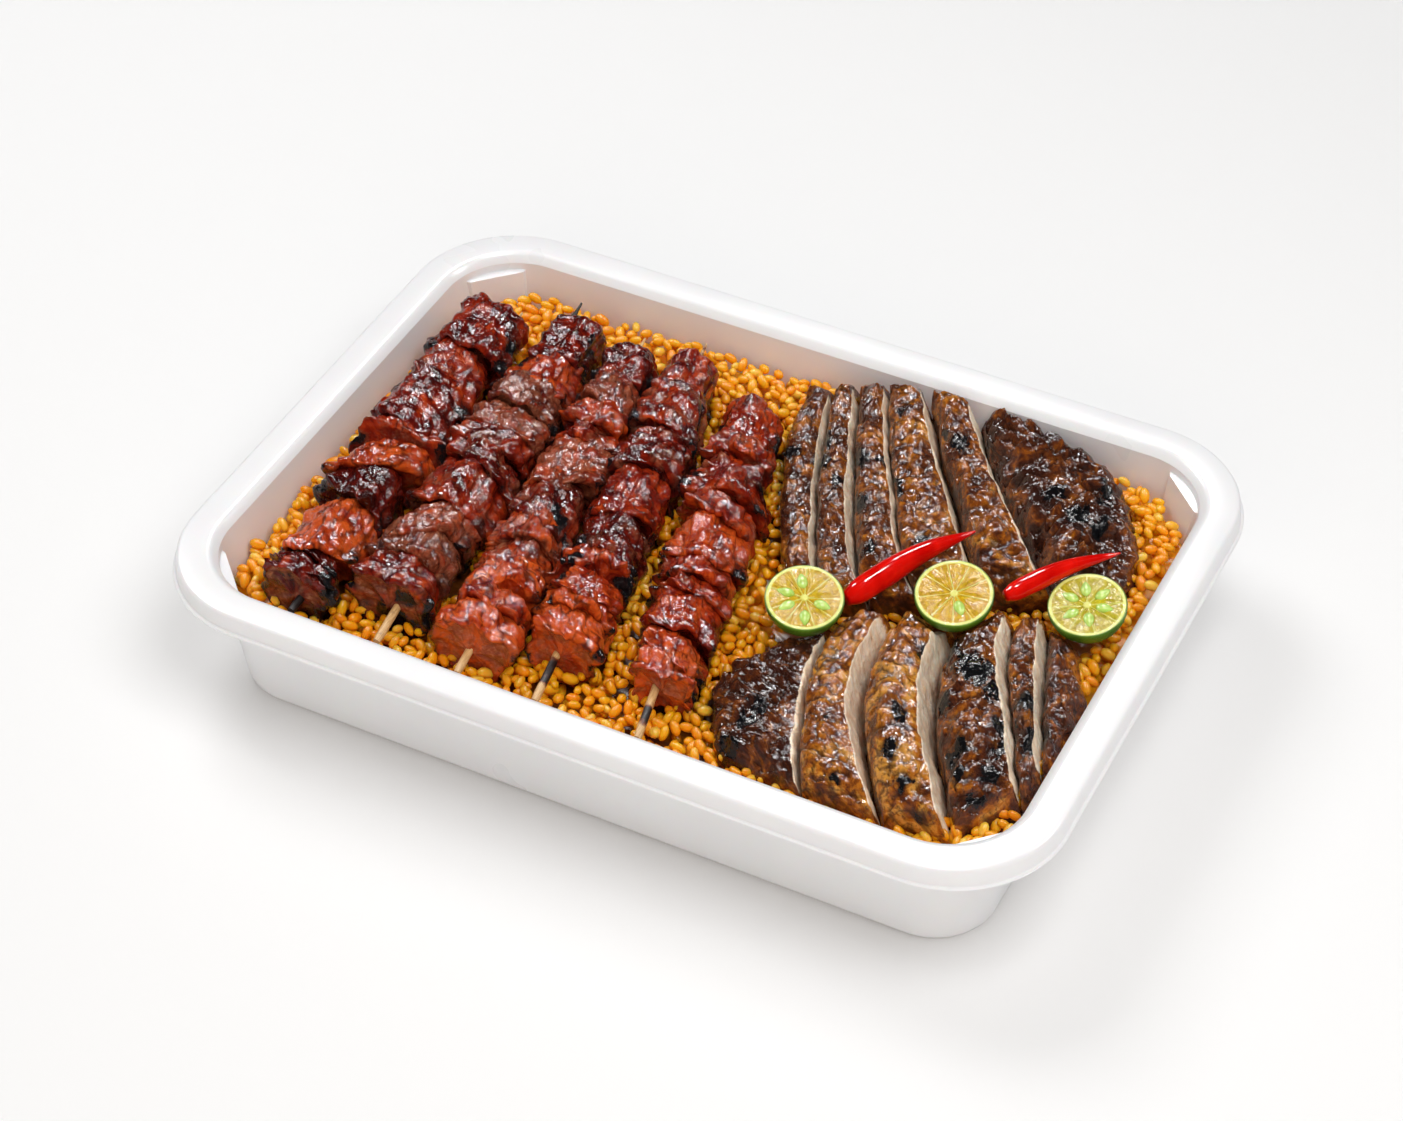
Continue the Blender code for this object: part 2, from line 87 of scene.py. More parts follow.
# Skewers, in mm from the far end to the near end, as in the solids. For each slice of pork:
# tone runs from maroon through red to bright orange-red, pale is how much lean or fat shows without glaze,
# char is how burnt its edges are, and folds is how many turns of meat it shows
SKEWERS = {
    "skewer_1": {
        "stick": ((-117.8, 78), (-108.9, -97)),
        "meat": ((-123.2, 66), (-111.9, -90)),
        "cuts": (66, 40, 18, -8, -30, -50, -73, -90),
        "radii": (13.6, 13.2, 15.2, 15.6, 14.2, 14.4, 12.6),
        "tone": (0.48, 0.60, 0.36, 0.70, 0.34, 1.00, 0.34),
        "pale": (0.10, 0.20, 0.05, 0.30, 0.05, 0.15, 0.10),
        "char": (0.75, 0.50, 0.50, 0.45, 0.75, 0.20, 1.00),
        "folds": (1, 1, 1, 2, 1, 1, 3),
        "stick_char": (0.0, 0.9, -2, 7), "stick_tip": True,
    },
    "skewer_2": {
        "stick": ((-101.0, 93), (-75.8, -97)),
        "meat": ((-91.4, 76), (-80.8, -80)),
        "cuts": (76, 52, 34, 8, -14, -36, -66, -80),
        "radii": (11.0, 12.2, 15.6, 14.8, 15.0, 16.0, 14.4),
        "tone": (0.30, 0.62, 0.40, 0.50, 0.60, 0.45, 0.50),
        "pale": (0.10, 0.15, 0.75, 0.35, 0.30, 0.85, 0.30),
        "char": (0.85, 0.35, 0.15, 0.15, 0.20, 0.25, 0.90),
        "folds": (1, 1, 2, 2, 1, 2, 1),
        "stick_char": (1.0, 0.0, 0, 1), "stick_tip": True,
    },
    "skewer_3": {
        "stick": ((-70.3, 85), (-44.7, -98)),
        "meat": ((-66.6, 70), (-45.4, -87)),
        "cuts": (70, 52, 36, 16, -6, -28, -54, -87),
        "radii": (9.8, 11.0, 11.6, 12.4, 12.8, 12.4, 13.8),
        "tone": (0.35, 0.45, 0.60, 0.60, 0.50, 0.65, 0.85),
        "pale": (0.15, 0.75, 0.35, 0.70, 0.45, 0.50, 0.20),
        "char": (0.85, 0.30, 0.15, 0.20, 0.45, 0.20, 0.35),
        "folds": (1, 1, 2, 1, 1, 2, 3),
        "stick_char": (0.0, 0.0, 0, 1), "stick_tip": True,
    },
    "skewer_4": {
        "stick": ((-48.8, 92), (-15.7, -98)),
        "meat": ((-45.2, 76), (-17.9, -76)),
        "cuts": (76, 54, 33, 8, -14, -32, -52, -76),
        "radii": (11.6, 13.2, 12.6, 13.0, 12.2, 13.2, 12.6),
        "tone": (0.40, 0.50, 0.35, 0.45, 0.25, 0.75, 1.00),
        "pale": (0.15, 0.45, 0.30, 0.15, 0.35, 0.20, 0.10),
        "char": (0.80, 0.60, 0.25, 0.40, 0.90, 0.25, 0.30),
        "folds": (1, 1, 2, 1, 1, 2, 2),
        "stick_char": (0.3, 1.0, 1, 12), "stick_tip": True,
    },
    "skewer_5": {
        "stick": ((-12.0, 50), (21.9, -98)),
        "meat": ((-14.4, 62), (19.0, -75)),
        "cuts": (62, 40, 22, 0, -20, -38, -54, -75),
        "radii": (10.8, 12.4, 13.8, 14.0, 13.2, 12.6, 11.4),
        "tone": (0.55, 0.50, 0.60, 0.65, 0.60, 0.70, 0.75),
        "pale": (0.10, 0.45, 0.30, 0.20, 0.35, 0.25, 0.20),
        "char": (0.95, 0.40, 0.20, 0.50, 0.35, 0.25, 0.35),
        "folds": (1, 2, 2, 1, 2, 1, 2),
        "stick_char": (0.0, 1.0, 7, 14), "stick_tip": False,
    },
}

# Chicken cuts in mm from the far end to the near end, at the height CUT_Z, as in the solids
CUT_Z = 52.0
CUT_LEAN = 0.34
CUT_GAP = 0.35
FAR_CUTS = (
    ((-9, 88), (-4, 60), (7, 32), (20, 4), (33, -17)),
    ((3, 90), (12, 57), (24, 27), (36, 0), (47, -14)),
    ((10, 94), (24, 59), (36, 31), (49, 5), (60, -9)),
    ((20, 98), (36, 64), (50, 38), (63, 14), (75, -2)),
    ((33, 100), (50, 72), (65, 50), (79, 29), (92, 10)),
    ((51, 100), (69, 74), (84, 55), (99, 38), (112, 24)),
    ((76, 100), (98, 94), (114, 84), (128, 60), (131, 39)),
)
NEAR_CUTS = (
    ((38, -38), (29, -52), (28.5, -66), (34, -80), (44, -93)),
    ((53, -25), (57, -46), (62, -64), (68, -82), (74, -95)),
    ((70, -11), (72, -38), (79, -60), (91, -80), (101, -95)),
    ((88, -3), (94, -34), (103, -56), (115, -76), (122, -90)),
    ((107, 5), (113, -17), (122, -34), (131, -52), (138, -68)),
    ((115, 13), (122, -9), (128, -24), (134, -40), (139, -54)),
    ((127, 8), (135, -8), (140, -22), (141, -36), (141, -50)),
)

# Ends is how high each thigh stands at its far and near ends, as a share of its top. For each slice: the top's
# height, how amber its skin is, how high its left shoulder stands as a share of the top, which leaves the cut
# face of the slice to its left in view, and how rough its skin is
CHICKEN = {
    "far": {
        "cuts": FAR_CUTS, "ends": (0.96, 0.62),
        "tops": (51, 54, 55.5, 57, 57.5, 53),
        "amber": (0.50, 0.42, 0.45, 0.55, 0.55, 0.22),
        "shoulders": (0.60, 0.62, 0.60, 0.78, 0.42, 0.48),
        "rough": (1.0, 1.0, 1.0, 1.1, 1.3, 2.2),
    },
    "near": {
        "cuts": NEAR_CUTS, "ends": (0.92, 0.5),
        "tops": (50, 55, 57, 57, 52, 49),
        "amber": (0.22, 0.72, 0.80, 0.50, 0.50, 0.38),
        "shoulders": (0.55, 0.62, 0.24, 0.24, 0.70, 0.55),
        "rough": (1.7, 1.0, 1.0, 1.5, 1.4, 1.6),
    },
}

# Toppings, in mm: citrus as cut-face centre, tilt and turn in degrees, how golden its pulp is, and each seed's
# turn and share of the radius; chillies as thick end, middle, tip and radius
CITRUS_RADIUS = 13.2
CITRUS_DEPTH = 12.0
CITRUS = {
    "citrus_half_1": {
        "centre": (47.2, -27.0, 59.5), "tilt": 12, "turn": 28, "segments": 9, "gold": 0.80,
        "seeds": ((95, 0.5), (160, 0.5), (208, 0.52), (330, 0.5), (268, 0.62)),
    },
    "citrus_half_2": {
        "centre": (90.5, -3.4, 60.0), "tilt": 14, "turn": 10, "segments": 9, "gold": 1.0,
        "seeds": ((300, 0.48),),
    },
    "citrus_half_3": {
        "centre": (130.0, 16.6, 54.6), "tilt": 12, "turn": -14, "segments": 8, "gold": 0.25,
        "seeds": ((20, 0.45), (75, 0.5), (130, 0.5), (185, 0.5), (250, 0.5), (310, 0.48)),
    },
}
CHILLIES = {
    "chilli_1": (((57.2, -15.8, 53.4), (71.5, 9.5, 58.5), (84.9, 27.0, 60.5)), 4.3),
    "chilli_2": (((104.5, 7.2, 55.6), (117.5, 26.5, 57.5), (131.6, 41.5, 58.0)), 3.4),
}

# Burnt spots, each by its place in the photograph in px and its radius in mm
PORK_BURNS = (
    (470, 318, 3.2), (508, 350, 3.4), (520, 362, 2.6), (492, 390, 2.2), (450, 410, 3.0), (412, 396, 2.8),
    (434, 420, 2.4), (372, 441, 2.8), (352, 444, 2.4), (376, 470, 2.6), (388, 489, 3.0), (365, 480, 2.6),
    (418, 466, 1.6), (329, 567, 2.6), (300, 574, 3.0), (282, 552, 2.2), (330, 594, 2.2), (376, 568, 2.4),
    (392, 592, 2.8), (408, 612, 2.6), (465, 558, 1.6), (575, 366, 2.2), (597, 358, 2.2), (616, 364, 2.4),
    (645, 373, 2.2), (600, 390, 1.8), (540, 545, 2.4), (566, 550, 2.2), (461, 601, 1.6), (442, 616, 2.0),
    (679, 366, 2.6), (705, 372, 2.4), (655, 396, 1.8), (684, 412, 2.6), (704, 429, 3.0), (677, 471, 1.8),
    (691, 480, 2.2), (600, 560, 3.0), (620, 572, 2.6), (650, 556, 2.2), (556, 587, 2.0), (745, 417, 3.2),
    (722, 429, 2.4), (768, 434, 2.6), (733, 475, 2.2), (725, 526, 1.4), (762, 531, 1.8), (752, 572, 2.6),
    (692, 577, 2.0), (638, 652, 1.6), (684, 671, 2.6),
)
CHICKEN_BURNS = (
    (826, 438, 2.6), (821, 461, 2.8), (791, 454, 2.2), (859, 459, 2.8), (883, 460, 2.2), (837, 480, 1.8),
    (861, 501, 2.6), (899, 484, 1.6), (828, 403, 1.8), (876, 392, 1.8), (902, 412, 2.0), (960, 443, 2.6),
    (947, 433, 1.4), (947, 495, 2.4), (1054, 493, 3.2), (1077, 514, 3.6), (1098, 524, 3.2), (1106, 495, 2.8),
    (852, 558, 2.2), (871, 548, 2.4), (923, 541, 1.8), (767, 625, 2.6), (759, 703, 3.0), (745, 717, 2.6),
    (730, 748, 3.2), (826, 712, 1.4), (900, 712, 2.2), (889, 746, 2.0), (904, 781, 1.9), (921, 818, 1.8),
    (832, 781, 1.4), (902, 631, 2.2), (930, 659, 3.6), (949, 647, 3.6), (968, 664, 4.0), (997, 689, 3.6),
    (982, 672, 3.2), (1005, 726, 3.4), (961, 746, 3.0), (949, 760, 2.6), (958, 776, 2.6), (989, 771, 3.0),
    (1003, 748, 3.2), (1028, 706, 3.4), (1036, 737, 3.2), (1031, 748, 2.8), (975, 799, 2.2), (944, 701, 1.8),
)


# Noise, curves and meshes

GRADIENTS = np.random.default_rng(3).normal(size=(256, 3))
GRADIENTS /= np.linalg.norm(GRADIENTS, axis=1, keepdims=True)
SHUFFLE = np.random.default_rng(4).permutation(256)


def noise(points, size, seed=0.0):
    """Smooth noise from about -1 to 1, with bumps about this far apart."""
    place = np.asarray(points, float) / size + seed * 17.31
    cell = np.floor(place).astype(int)
    part = place - cell
    ease = part**3 * (part * (part * 6 - 15) + 10)
    total = np.zeros(place.shape[:-1])
    for step in np.ndindex(2, 2, 2):
        corner = (cell + step) & 255
        pick = SHUFFLE[(SHUFFLE[(SHUFFLE[corner[..., 0]] + corner[..., 1]) & 255] + corner[..., 2]) & 255]
        slope = ((part - step) * GRADIENTS[pick]).sum(-1)
        weight = np.where(np.array(step) == 1, ease, 1 - ease).prod(-1)
        total += slope * weight
    return np.clip(total * 1.6, -1, 1)


def smoothstep(low, high, value):
    share = np.clip((value - low) / (high - low), 0, 1)
    return share * share * (3 - 2 * share)


def mix(a, b, t):
    return a + (b - a) * t


def stacked(*values):
    """These values side by side in a last axis, each spread to the shape that they share."""
    return np.stack(np.broadcast_arrays(*values), axis=-1)


def drift(points, size, seed, step=1.0):
    """Smooth noise in three directions at once."""
    return stacked(*(noise(points, size, seed + step * k) for k in (1, 2, 3)))


def once_round(count):
    """This many even angles round a circle, as a row."""
    return np.linspace(0, math.tau, count, endpoint=False)[None, :]


def spun(points, angle, axis="Z"):
    """Points turned by this angle about an axis."""
    return points @ np.array(Matrix.Rotation(angle, 3, axis)).T


def placed(points, matrix):
    """Points moved by a 4 by 4 matrix."""
    return points @ matrix[:3, :3].T + matrix[:3, 3]


def along(points, shares):
    """Points at these shares of a smooth curve through the given points."""
    points = np.asarray(points, float)
    spans = len(points) - 1
    padded = np.vstack([2 * points[0] - points[1], points, 2 * points[-1] - points[-2]])
    at = np.clip(shares, 0, 1) * spans
    first = np.minimum(at.astype(int), spans - 1)
    u = (at - first)[..., None]
    p0, p1, p2, p3 = (padded[first + i] for i in range(4))
    square = (2 * p0 - 5 * p1 + 4 * p2 - p3) * u**2
    cube = (3 * p1 - p0 - 3 * p2 + p3) * u**3
    return 0.5 * (2 * p1 + (p2 - p0) * u + square + cube)


def tube_faces(rows, columns, first=0):
    """Quads of a closed tube of rows by columns points, and a fan's centre point after them at each end."""
    index = first + np.arange(rows * columns).reshape(rows, columns)
    ahead = np.roll(index, -1, axis=1)
    quads = np.stack([index[:-1], ahead[:-1], ahead[1:], index[1:]], axis=-1).reshape(-1, 4)
    start, end = first + rows * columns, first + rows * columns + 1
    fans = [(start, b, a) for a, b in zip(index[0], ahead[0])]
    fans += [(end, a, b) for a, b in zip(index[-1], ahead[-1])]
    return quads.tolist() + fans


class Parts:
    """Points, faces and point values gathered for one piece."""

    def __init__(self):
        self.points = []
        self.faces = []
        self.fields = {}
        self.count = 0

    def add_tube(self, grid, **fields):
        """A closed tube whose rows are rings, shut by a fan at each end."""
        rows, columns, _ = grid.shape
        self.faces += tube_faces(rows, columns, self.count)
        ends = np.stack([grid[0].mean(0), grid[-1].mean(0)])
        self.points.append(np.vstack([grid.reshape(-1, 3), ends]))
        for name, value in fields.items():
            value = np.broadcast_to(value, (rows, columns))
            values = np.concatenate([value.ravel(), [value[0].mean(), value[-1].mean()]])
            self.fields.setdefault(name, []).append(values)
        self.count += rows * columns + 2

    def add_mesh(self, points, faces, **fields):
        self.faces += [[self.count + i for i in face] for face in faces]
        self.points.append(np.asarray(points, float))
        for name, value in fields.items():
            self.fields.setdefault(name, []).append(np.broadcast_to(value, len(points)).astype(float))
        self.count += len(points)


def make_piece(name, parts, look, stands_for=(), sharp=None):
    """The gathered parts, in mm, as one object that rides on the tray."""
    mesh = bpy.data.meshes.new(name)
    mesh.from_pydata(np.vstack(parts.points) * MM, [], parts.faces)
    for field, values in parts.fields.items():
        made = mesh.attributes.new(field, "FLOAT", "POINT")
        made.data.foreach_set("value", np.concatenate(values).astype(np.float32))
    mesh.materials.append(look)
    mesh.shade_smooth()
    if sharp:
        mesh.set_sharp_from_angle(angle=math.radians(sharp))
    mesh.validate()
    piece = bpy.data.objects.new(name, mesh)
    bpy.context.scene.collection.objects.link(piece)
    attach(piece, "root")
    if stands_for:
        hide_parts(*stands_for)
    return piece


# Materials

# The middle values of noise, the black of char, and in metres how high glaze stands at creases and blisters
MIDDLE_SPAN = (0.35, 0.65)
CHAR_BLACK = (0.006, 0.006, 0.007, 1)
CREASE_DEPTH = 0.0008
BLISTER_HEIGHT = 0.00014

# The deep and bright colour of each kind of grain
GRAIN_COLOURS = {
    "amber": ((0.97, 0.29, 0.002), (1.0, 0.40, 0.005)),
    "yellow": ((1.0, 0.34, 0.002), (1.0, 0.45, 0.006)),
    "pale": ((1.0, 0.43, 0.012), (1.0, 0.56, 0.06)),
}


def start_look(name, **inputs):
    """A material whose Principled shader has these uniform values, with its node tree and shader."""
    look = bpy.data.materials.new(name)
    look.use_nodes = True
    shader = look.node_tree.nodes["Principled BSDF"]
    for key, value in inputs.items():
        shader.inputs[key.replace("_", " ")].default_value = value
    return look, look.node_tree, shader


def node(tree, kind, inputs=None, **settings):
    made = tree.nodes.new("ShaderNode" + kind)
    for key, value in settings.items():
        setattr(made, key, value)
    for key, value in (inputs or {}).items():
        if isinstance(value, bpy.types.NodeSocket):
            tree.links.new(value, made.inputs[key])
        else:
            made.inputs[key].default_value = value
    return made


def place_of(tree, stretch=(1, 1, 1), turn=(0, 0, 0)):
    """Object coordinates, stretched and turned for grain that runs one way."""
    coords = node(tree, "TexCoord").outputs["Object"]
    return node(tree, "Mapping", {"Vector": coords, "Scale": stretch, "Rotation": turn}).outputs[0]


def grain(tree, place, scale, detail=3.0, rough=0.55, warp=0.0):
    values = {"Vector": place, "Scale": scale, "Detail": detail, "Roughness": rough, "Distortion": warp}
    return node(tree, "TexNoise", values).outputs["Fac"]


def ramp(tree, value, *stops):
    """A colour ramp through (place, colour) stops."""
    made = node(tree, "ValToRGB", {"Fac": value})
    elements = made.color_ramp.elements
    while len(elements) < len(stops):
        elements.new(0.5)
    for element, (place, colour) in zip(elements, stops):
        element.position = place
        element.color = (*colour, 1) if len(colour) == 3 else colour
    return made.outputs[0]


def level(tree, value, low, high, to_low=0.0, to_high=1.0):
    """The value's range low to high spread over to_low to to_high."""
    values = {"Value": value, "From Min": low, "From Max": high, "To Min": to_low, "To Max": to_high}
    return node(tree, "MapRange", values).outputs[0]


def mottle(tree, place, scale, to_low, to_high, detail=3.0, rough=0.55, warp=0.0, span=(0.3, 0.7)):
    """Noise whose values within this span are spread over to_low to to_high."""
    return level(tree, grain(tree, place, scale, detail, rough, warp), *span, to_low, to_high)


def maths(tree, operation, a, b=0.5):
    return node(tree, "Math", {0: a, 1: b}, operation=operation).outputs[0]


def blend(tree, share, a, b):
    return node(tree, "Mix", {"Factor": share, 6: a, 7: b}, data_type="RGBA").outputs[2]


def field(tree, name):
    return node(tree, "Attribute", attribute_name=name).outputs["Fac"]


def bump(tree, height, distance, strength=1.0, under=None):
    made = node(tree, "Bump", {"Height": height, "Distance": distance, "Strength": strength})
    if under is not None:
        tree.links.new(under, made.inputs["Normal"])
    return made.outputs[0]


def wire(tree, shader, **sockets):
    for key, value in sockets.items():
        tree.links.new(value, shader.inputs[key.replace("_", " ")])


def plastic_look():
    look, tree, shader = start_look("tray_plastic", IOR=1.47, Subsurface_Weight=0.12, Subsurface_Scale=0.002)
    place = place_of(tree)
    cloud = grain(tree, place, 14)
    shade = ramp(tree, cloud, (0.3, (0.845, 0.845, 0.86)), (0.7, (0.88, 0.88, 0.89)))
    speck = grain(tree, place, 900, 2)
    wire(tree, shader, Base_Color=shade, Roughness=level(tree, cloud, 0.3, 0.7, 0.26, 0.36))
    wire(tree, shader, Normal=bump(tree, speck, 0.00003, 0.4))
    return look


def rice_look(name, dark, bright):
    look, tree, shader = start_look(
        name, IOR=1.42, Roughness=0.34, Subsurface_Weight=0.6, Subsurface_Scale=0.0024,
        Subsurface_Radius=(1.0, 0.55, 0.2),
    )
    place = place_of(tree)
    body = ramp(tree, field(tree, "tone"), (0.0, dark), (1.0, bright))
    chalk = mottle(tree, place, 260, 0.0, 0.35, span=(0.45, 0.75))
    body = blend(tree, chalk, body, (*(min(1, 1.25 * c + 0.03) for c in bright), 1))
    # The grains darken to brown under and beside the food: partly sauce soaked in, partly painted shade
    soaked = blend(tree, field(tree, "soak"), body, (0.16, 0.045, 0.006, 1))
    wire(tree, shader, Base_Color=soaked, Normal=bump(tree, grain(tree, place, 1400), 0.00008, 0.5))
    return look


def glaze_bump(tree, place, wide, fine):
    """Puckered wet glaze: small round blisters over wandering creases."""
    shift = node(tree, "TexNoise", {"Vector": place, "Scale": wide, "Detail": 2.0}).outputs["Color"]
    pulled = node(tree, "VectorMath", {0: shift, "Scale": 0.6 / wide}, operation="SCALE").outputs[0]
    bent = node(tree, "VectorMath", {0: place, 1: pulled}, operation="ADD").outputs[0]
    folds = maths(tree, "ABSOLUTE", maths(tree, "SUBTRACT", grain(tree, bent, wide), 0.5))
    cells = node(tree, "TexVoronoi", {"Vector": bent, "Scale": fine}).outputs["Distance"]
    beads = maths(tree, "SUBTRACT", 1.0, maths(tree, "MULTIPLY", cells, cells))
    return bump(tree, beads, BLISTER_HEIGHT, 1.0, bump(tree, folds, CREASE_DEPTH))


def seared(tree, place, colour, hollow_span, crease_shade_colour, brown_share, brown, char_span):
    """The colour darkened by painted shade in its creases, brown round the char, and black in flakes where it
    burnt.
    """
    # Painted shade: the colour darkens towards the given dark colour where the surface lies deep in a crease
    shaded = blend(tree, level(tree, field(tree, "hollow"), *hollow_span, 0.0, 0.8), colour, crease_shade_colour)
    flakes = mottle(tree, place, 420, -0.34, 0.34, 4, 0.7, 0.4)
    burnt = level(tree, maths(tree, "ADD", field(tree, "char"), flakes), *char_span)
    browned = blend(tree, level(tree, field(tree, "char"), 0.05, 0.4, 0.0, brown_share), shaded, brown)
    return blend(tree, burnt, browned, CHAR_BLACK)


def pork_look():
    look, tree, shader = start_look(
        "glazed_pork", IOR=1.5, Subsurface_Weight=0.12, Subsurface_Scale=0.0012,
        Subsurface_Radius=(1.0, 0.22, 0.10),
    )
    place = place_of(tree)
    tone = maths(tree, "ADD", field(tree, "tone"), mottle(tree, place, 100, -0.42, 0.42, 4, 0.62, 0.9))
    glaze = ramp(
        tree, tone, (0.0, (0.026, 0.002, 0.002)), (0.25, (0.095, 0.005, 0.003)), (0.5, (0.24, 0.014, 0.004)),
        (0.75, (0.44, 0.042, 0.006)), (1.0, (0.66, 0.100, 0.014)),
    )
    fibres = grain(tree, place_of(tree, (1, 0.35, 1.4)), 460, 4, 0.65, 0.5)
    lean = ramp(
        tree, fibres, (0.3, (0.14, 0.030, 0.014)), (0.55, (0.32, 0.095, 0.044)), (0.75, (0.54, 0.24, 0.13))
    )
    bare = mottle(tree, place, 170, -0.5, 0.3, 4, 0.6, 0.5, MIDDLE_SPAN)
    show = maths(tree, "ADD", field(tree, "pale"), bare)
    meat = blend(tree, level(tree, show, 0.25, 0.75, 0.0, 0.75), glaze, lean)
    # The first dark maroon passed here is painted shade for the creases
    colour = seared(
        tree, place, meat, (0.1, 1.0), (0.030, 0.003, 0.002, 1), 0.8, (0.030, 0.007, 0.005, 1), (0.32, 0.46)
    )
    gloss = mottle(tree, place, 300, 0.05, 0.15, 2, span=MIDDLE_SPAN)
    wire(tree, shader, Base_Color=colour, Roughness=gloss, Normal=glaze_bump(tree, place, 320, 600))
    return look


def chicken_look():
    look, tree, shader = start_look(
        "grilled_chicken", IOR=1.5, Subsurface_Weight=0.1, Subsurface_Scale=0.0012,
        Subsurface_Radius=(1.0, 0.4, 0.2),
    )
    place = place_of(tree)
    tone = maths(tree, "ADD", field(tree, "amber"), mottle(tree, place, 105, -0.6, 0.55, 4, 0.66, 0.9))
    skin = ramp(
        tree, tone, (0.0, (0.036, 0.010, 0.006)), (0.3, (0.12, 0.030, 0.009)), (0.55, (0.27, 0.072, 0.009)),
        (0.8, (0.48, 0.155, 0.014)), (1.0, (0.66, 0.300, 0.050)),
    )
    speck = mottle(tree, place, 520, 0.0, 0.7, 3, 0.6, span=(0.50, 0.64))
    skin = blend(tree, speck, skin, (0.055, 0.018, 0.012, 1))
    # The first dark brown passed here is painted shade for the creases
    outside = seared(
        tree, place, skin, (0.0, 0.9), (0.026, 0.009, 0.005, 1), 0.75, (0.030, 0.011, 0.008, 1), (0.38, 0.54)
    )
    fibres = grain(tree, place_of(tree, (1, 1, 0.3), (0.5, 0.4, 0)), 420, 4, 0.6, 0.4)
    flesh = ramp(tree, fibres, (0.3, (0.88, 0.60, 0.38)), (0.5, (1.0, 0.81, 0.60)), (0.7, (1.0, 0.91, 0.76)))
    edge = maths(tree, "ADD", field(tree, "cut"), mottle(tree, place, 300, -0.25, 0.2))
    share = level(tree, edge, 0.35, 0.62)
    gloss = mottle(tree, place, 240, 0.06, 0.17, 2, span=MIDDLE_SPAN)
    rough = maths(tree, "MAXIMUM", gloss, level(tree, share, 0, 1, 0, 0.42))
    wire(tree, shader, Base_Color=blend(tree, share, outside, flesh), Roughness=rough)
    wire(tree, shader, Normal=glaze_bump(tree, place, 300, 580))
    return look


def bamboo_look():
    look, tree, shader = start_look("bamboo_stick", IOR=1.45)
    fibres = grain(tree, place_of(tree, (1, 0.06, 1)), 2600, 4, 0.6)
    wood = ramp(
        tree, fibres, (0.3, (0.50, 0.26, 0.085)), (0.5, (0.72, 0.43, 0.17)), (0.7, (0.86, 0.60, 0.30))
    )
    patch = mottle(tree, place_of(tree), 260, -0.35, 0.35, 4, 0.6)
    burnt = maths(tree, "ADD", field(tree, "char"), patch)
    tan = blend(tree, level(tree, burnt, 0.15, 0.5), wood, (0.20, 0.045, 0.012, 1))
    colour = blend(tree, level(tree, burnt, 0.45, 0.75), tan, (0.012, 0.007, 0.006, 1))
    wire(tree, shader, Base_Color=colour, Roughness=level(tree, fibres, 0.3, 0.7, 0.4, 0.6))
    wire(tree, shader, Normal=bump(tree, fibres, 0.0002, 0.6))
    return look


def citrus_look(name, gold):
    look, tree, shader = start_look(
        name, IOR=1.4, Subsurface_Weight=0.3, Subsurface_Scale=0.002, Subsurface_Radius=(1.0, 0.9, 0.3)
    )
    place = place_of(tree)
    cells = grain(tree, place, 650, 3, 0.6, 0.5)
    green = ramp(tree, cells, (0.3, (0.34, 0.31, 0.003)), (0.7, (0.64, 0.60, 0.03)))
    amber = ramp(tree, cells, (0.3, (0.48, 0.25, 0.002)), (0.7, (0.78, 0.50, 0.012)))
    pulp = blend(tree, gold, green, amber)
    pulp = blend(tree, field(tree, "membrane"), pulp, (0.76, 0.74, 0.17, 1))
    pith = blend(tree, field(tree, "pith"), pulp, (0.78, 0.80, 0.22, 1))
    peel = ramp(tree, grain(tree, place, 120), (0.3, (0.035, 0.11, 0.008)), (0.7, (0.13, 0.26, 0.016)))
    colour = blend(tree, field(tree, "peel"), pith, peel)
    height = blend(tree, field(tree, "peel"), cells, grain(tree, place, 1300, 2))
    wire(tree, shader, Base_Color=colour, Roughness=level(tree, field(tree, "peel"), 0, 1, 0.12, 0.34))
    wire(tree, shader, Normal=bump(tree, height, 0.0004, 0.6))
    return look


def seed_look():
    look, tree, shader = start_look(
        "citrus_seed", IOR=1.42, Roughness=0.25, Subsurface_Weight=0.3, Subsurface_Scale=0.001
    )
    shade = grain(tree, place_of(tree), 500)
    colour = ramp(tree, shade, (0.3, (0.36, 0.58, 0.06)), (0.7, (0.62, 0.80, 0.20)))
    wire(tree, shader, Base_Color=colour, Normal=bump(tree, shade, 0.0002, 0.4))
    return look


def chilli_look():
    look, tree, shader = start_look(
        "chilli_skin", IOR=1.4, Subsurface_Weight=0.08, Subsurface_Scale=0.001,
        Subsurface_Radius=(1.0, 0.15, 0.08),
    )
    place = place_of(tree)
    shade = grain(tree, place, 130, 3, 0.5, 0.5)
    colour = ramp(tree, shade, (0.3, (0.58, 0.002, 0.001)), (0.7, (0.85, 0.008, 0.003)))
    wire(tree, shader, Base_Color=colour, Roughness=level(tree, shade, 0.3, 0.7, 0.06, 0.12))
    wire(tree, shader, Normal=bump(tree, grain(tree, place, 260), 0.0003, 0.35))
    return look


# Tray

def tray_ring(inset_x, inset_y, radius, z, lug=0.0):
    """A rounded rectangle inset from the rim's edge. A lug cuts each corner flat and stands in that far."""
    half_x = TRAY_LENGTH / 2 - inset_x
    half_y = TRAY_WIDTH / 2 - inset_y
    first, last = LUG_STEPS
    ring = []
    for sign_x, sign_y, start in ((1, 1, 0), (-1, 1, 90), (-1, -1, 180), (1, -1, 270)):
        angles = np.radians(start + 90 * np.arange(CORNER_STEPS + 1) / CORNER_STEPS)
        arc = stacked(np.cos(angles), np.sin(angles)) * radius
        arc += (sign_x * (half_x - radius), sign_y * (half_y - radius))
        if lug:
            inward = -np.array([sign_x, sign_y]) / math.sqrt(2) * lug
            shares = np.linspace(0, 1, last - first + 1)[:, None]
            arc[first : last + 1] = mix(arc[first] + inward, arc[last] + inward, shares)
        ring.append(arc)
    ring = np.vstack(ring)
    return np.column_stack([ring, np.full(len(ring), z)])


def rim_ring(inset, radius, z):
    """A ring that stands in from the rim's edge by the same inset all round."""
    return tray_ring(inset, inset, radius, z)


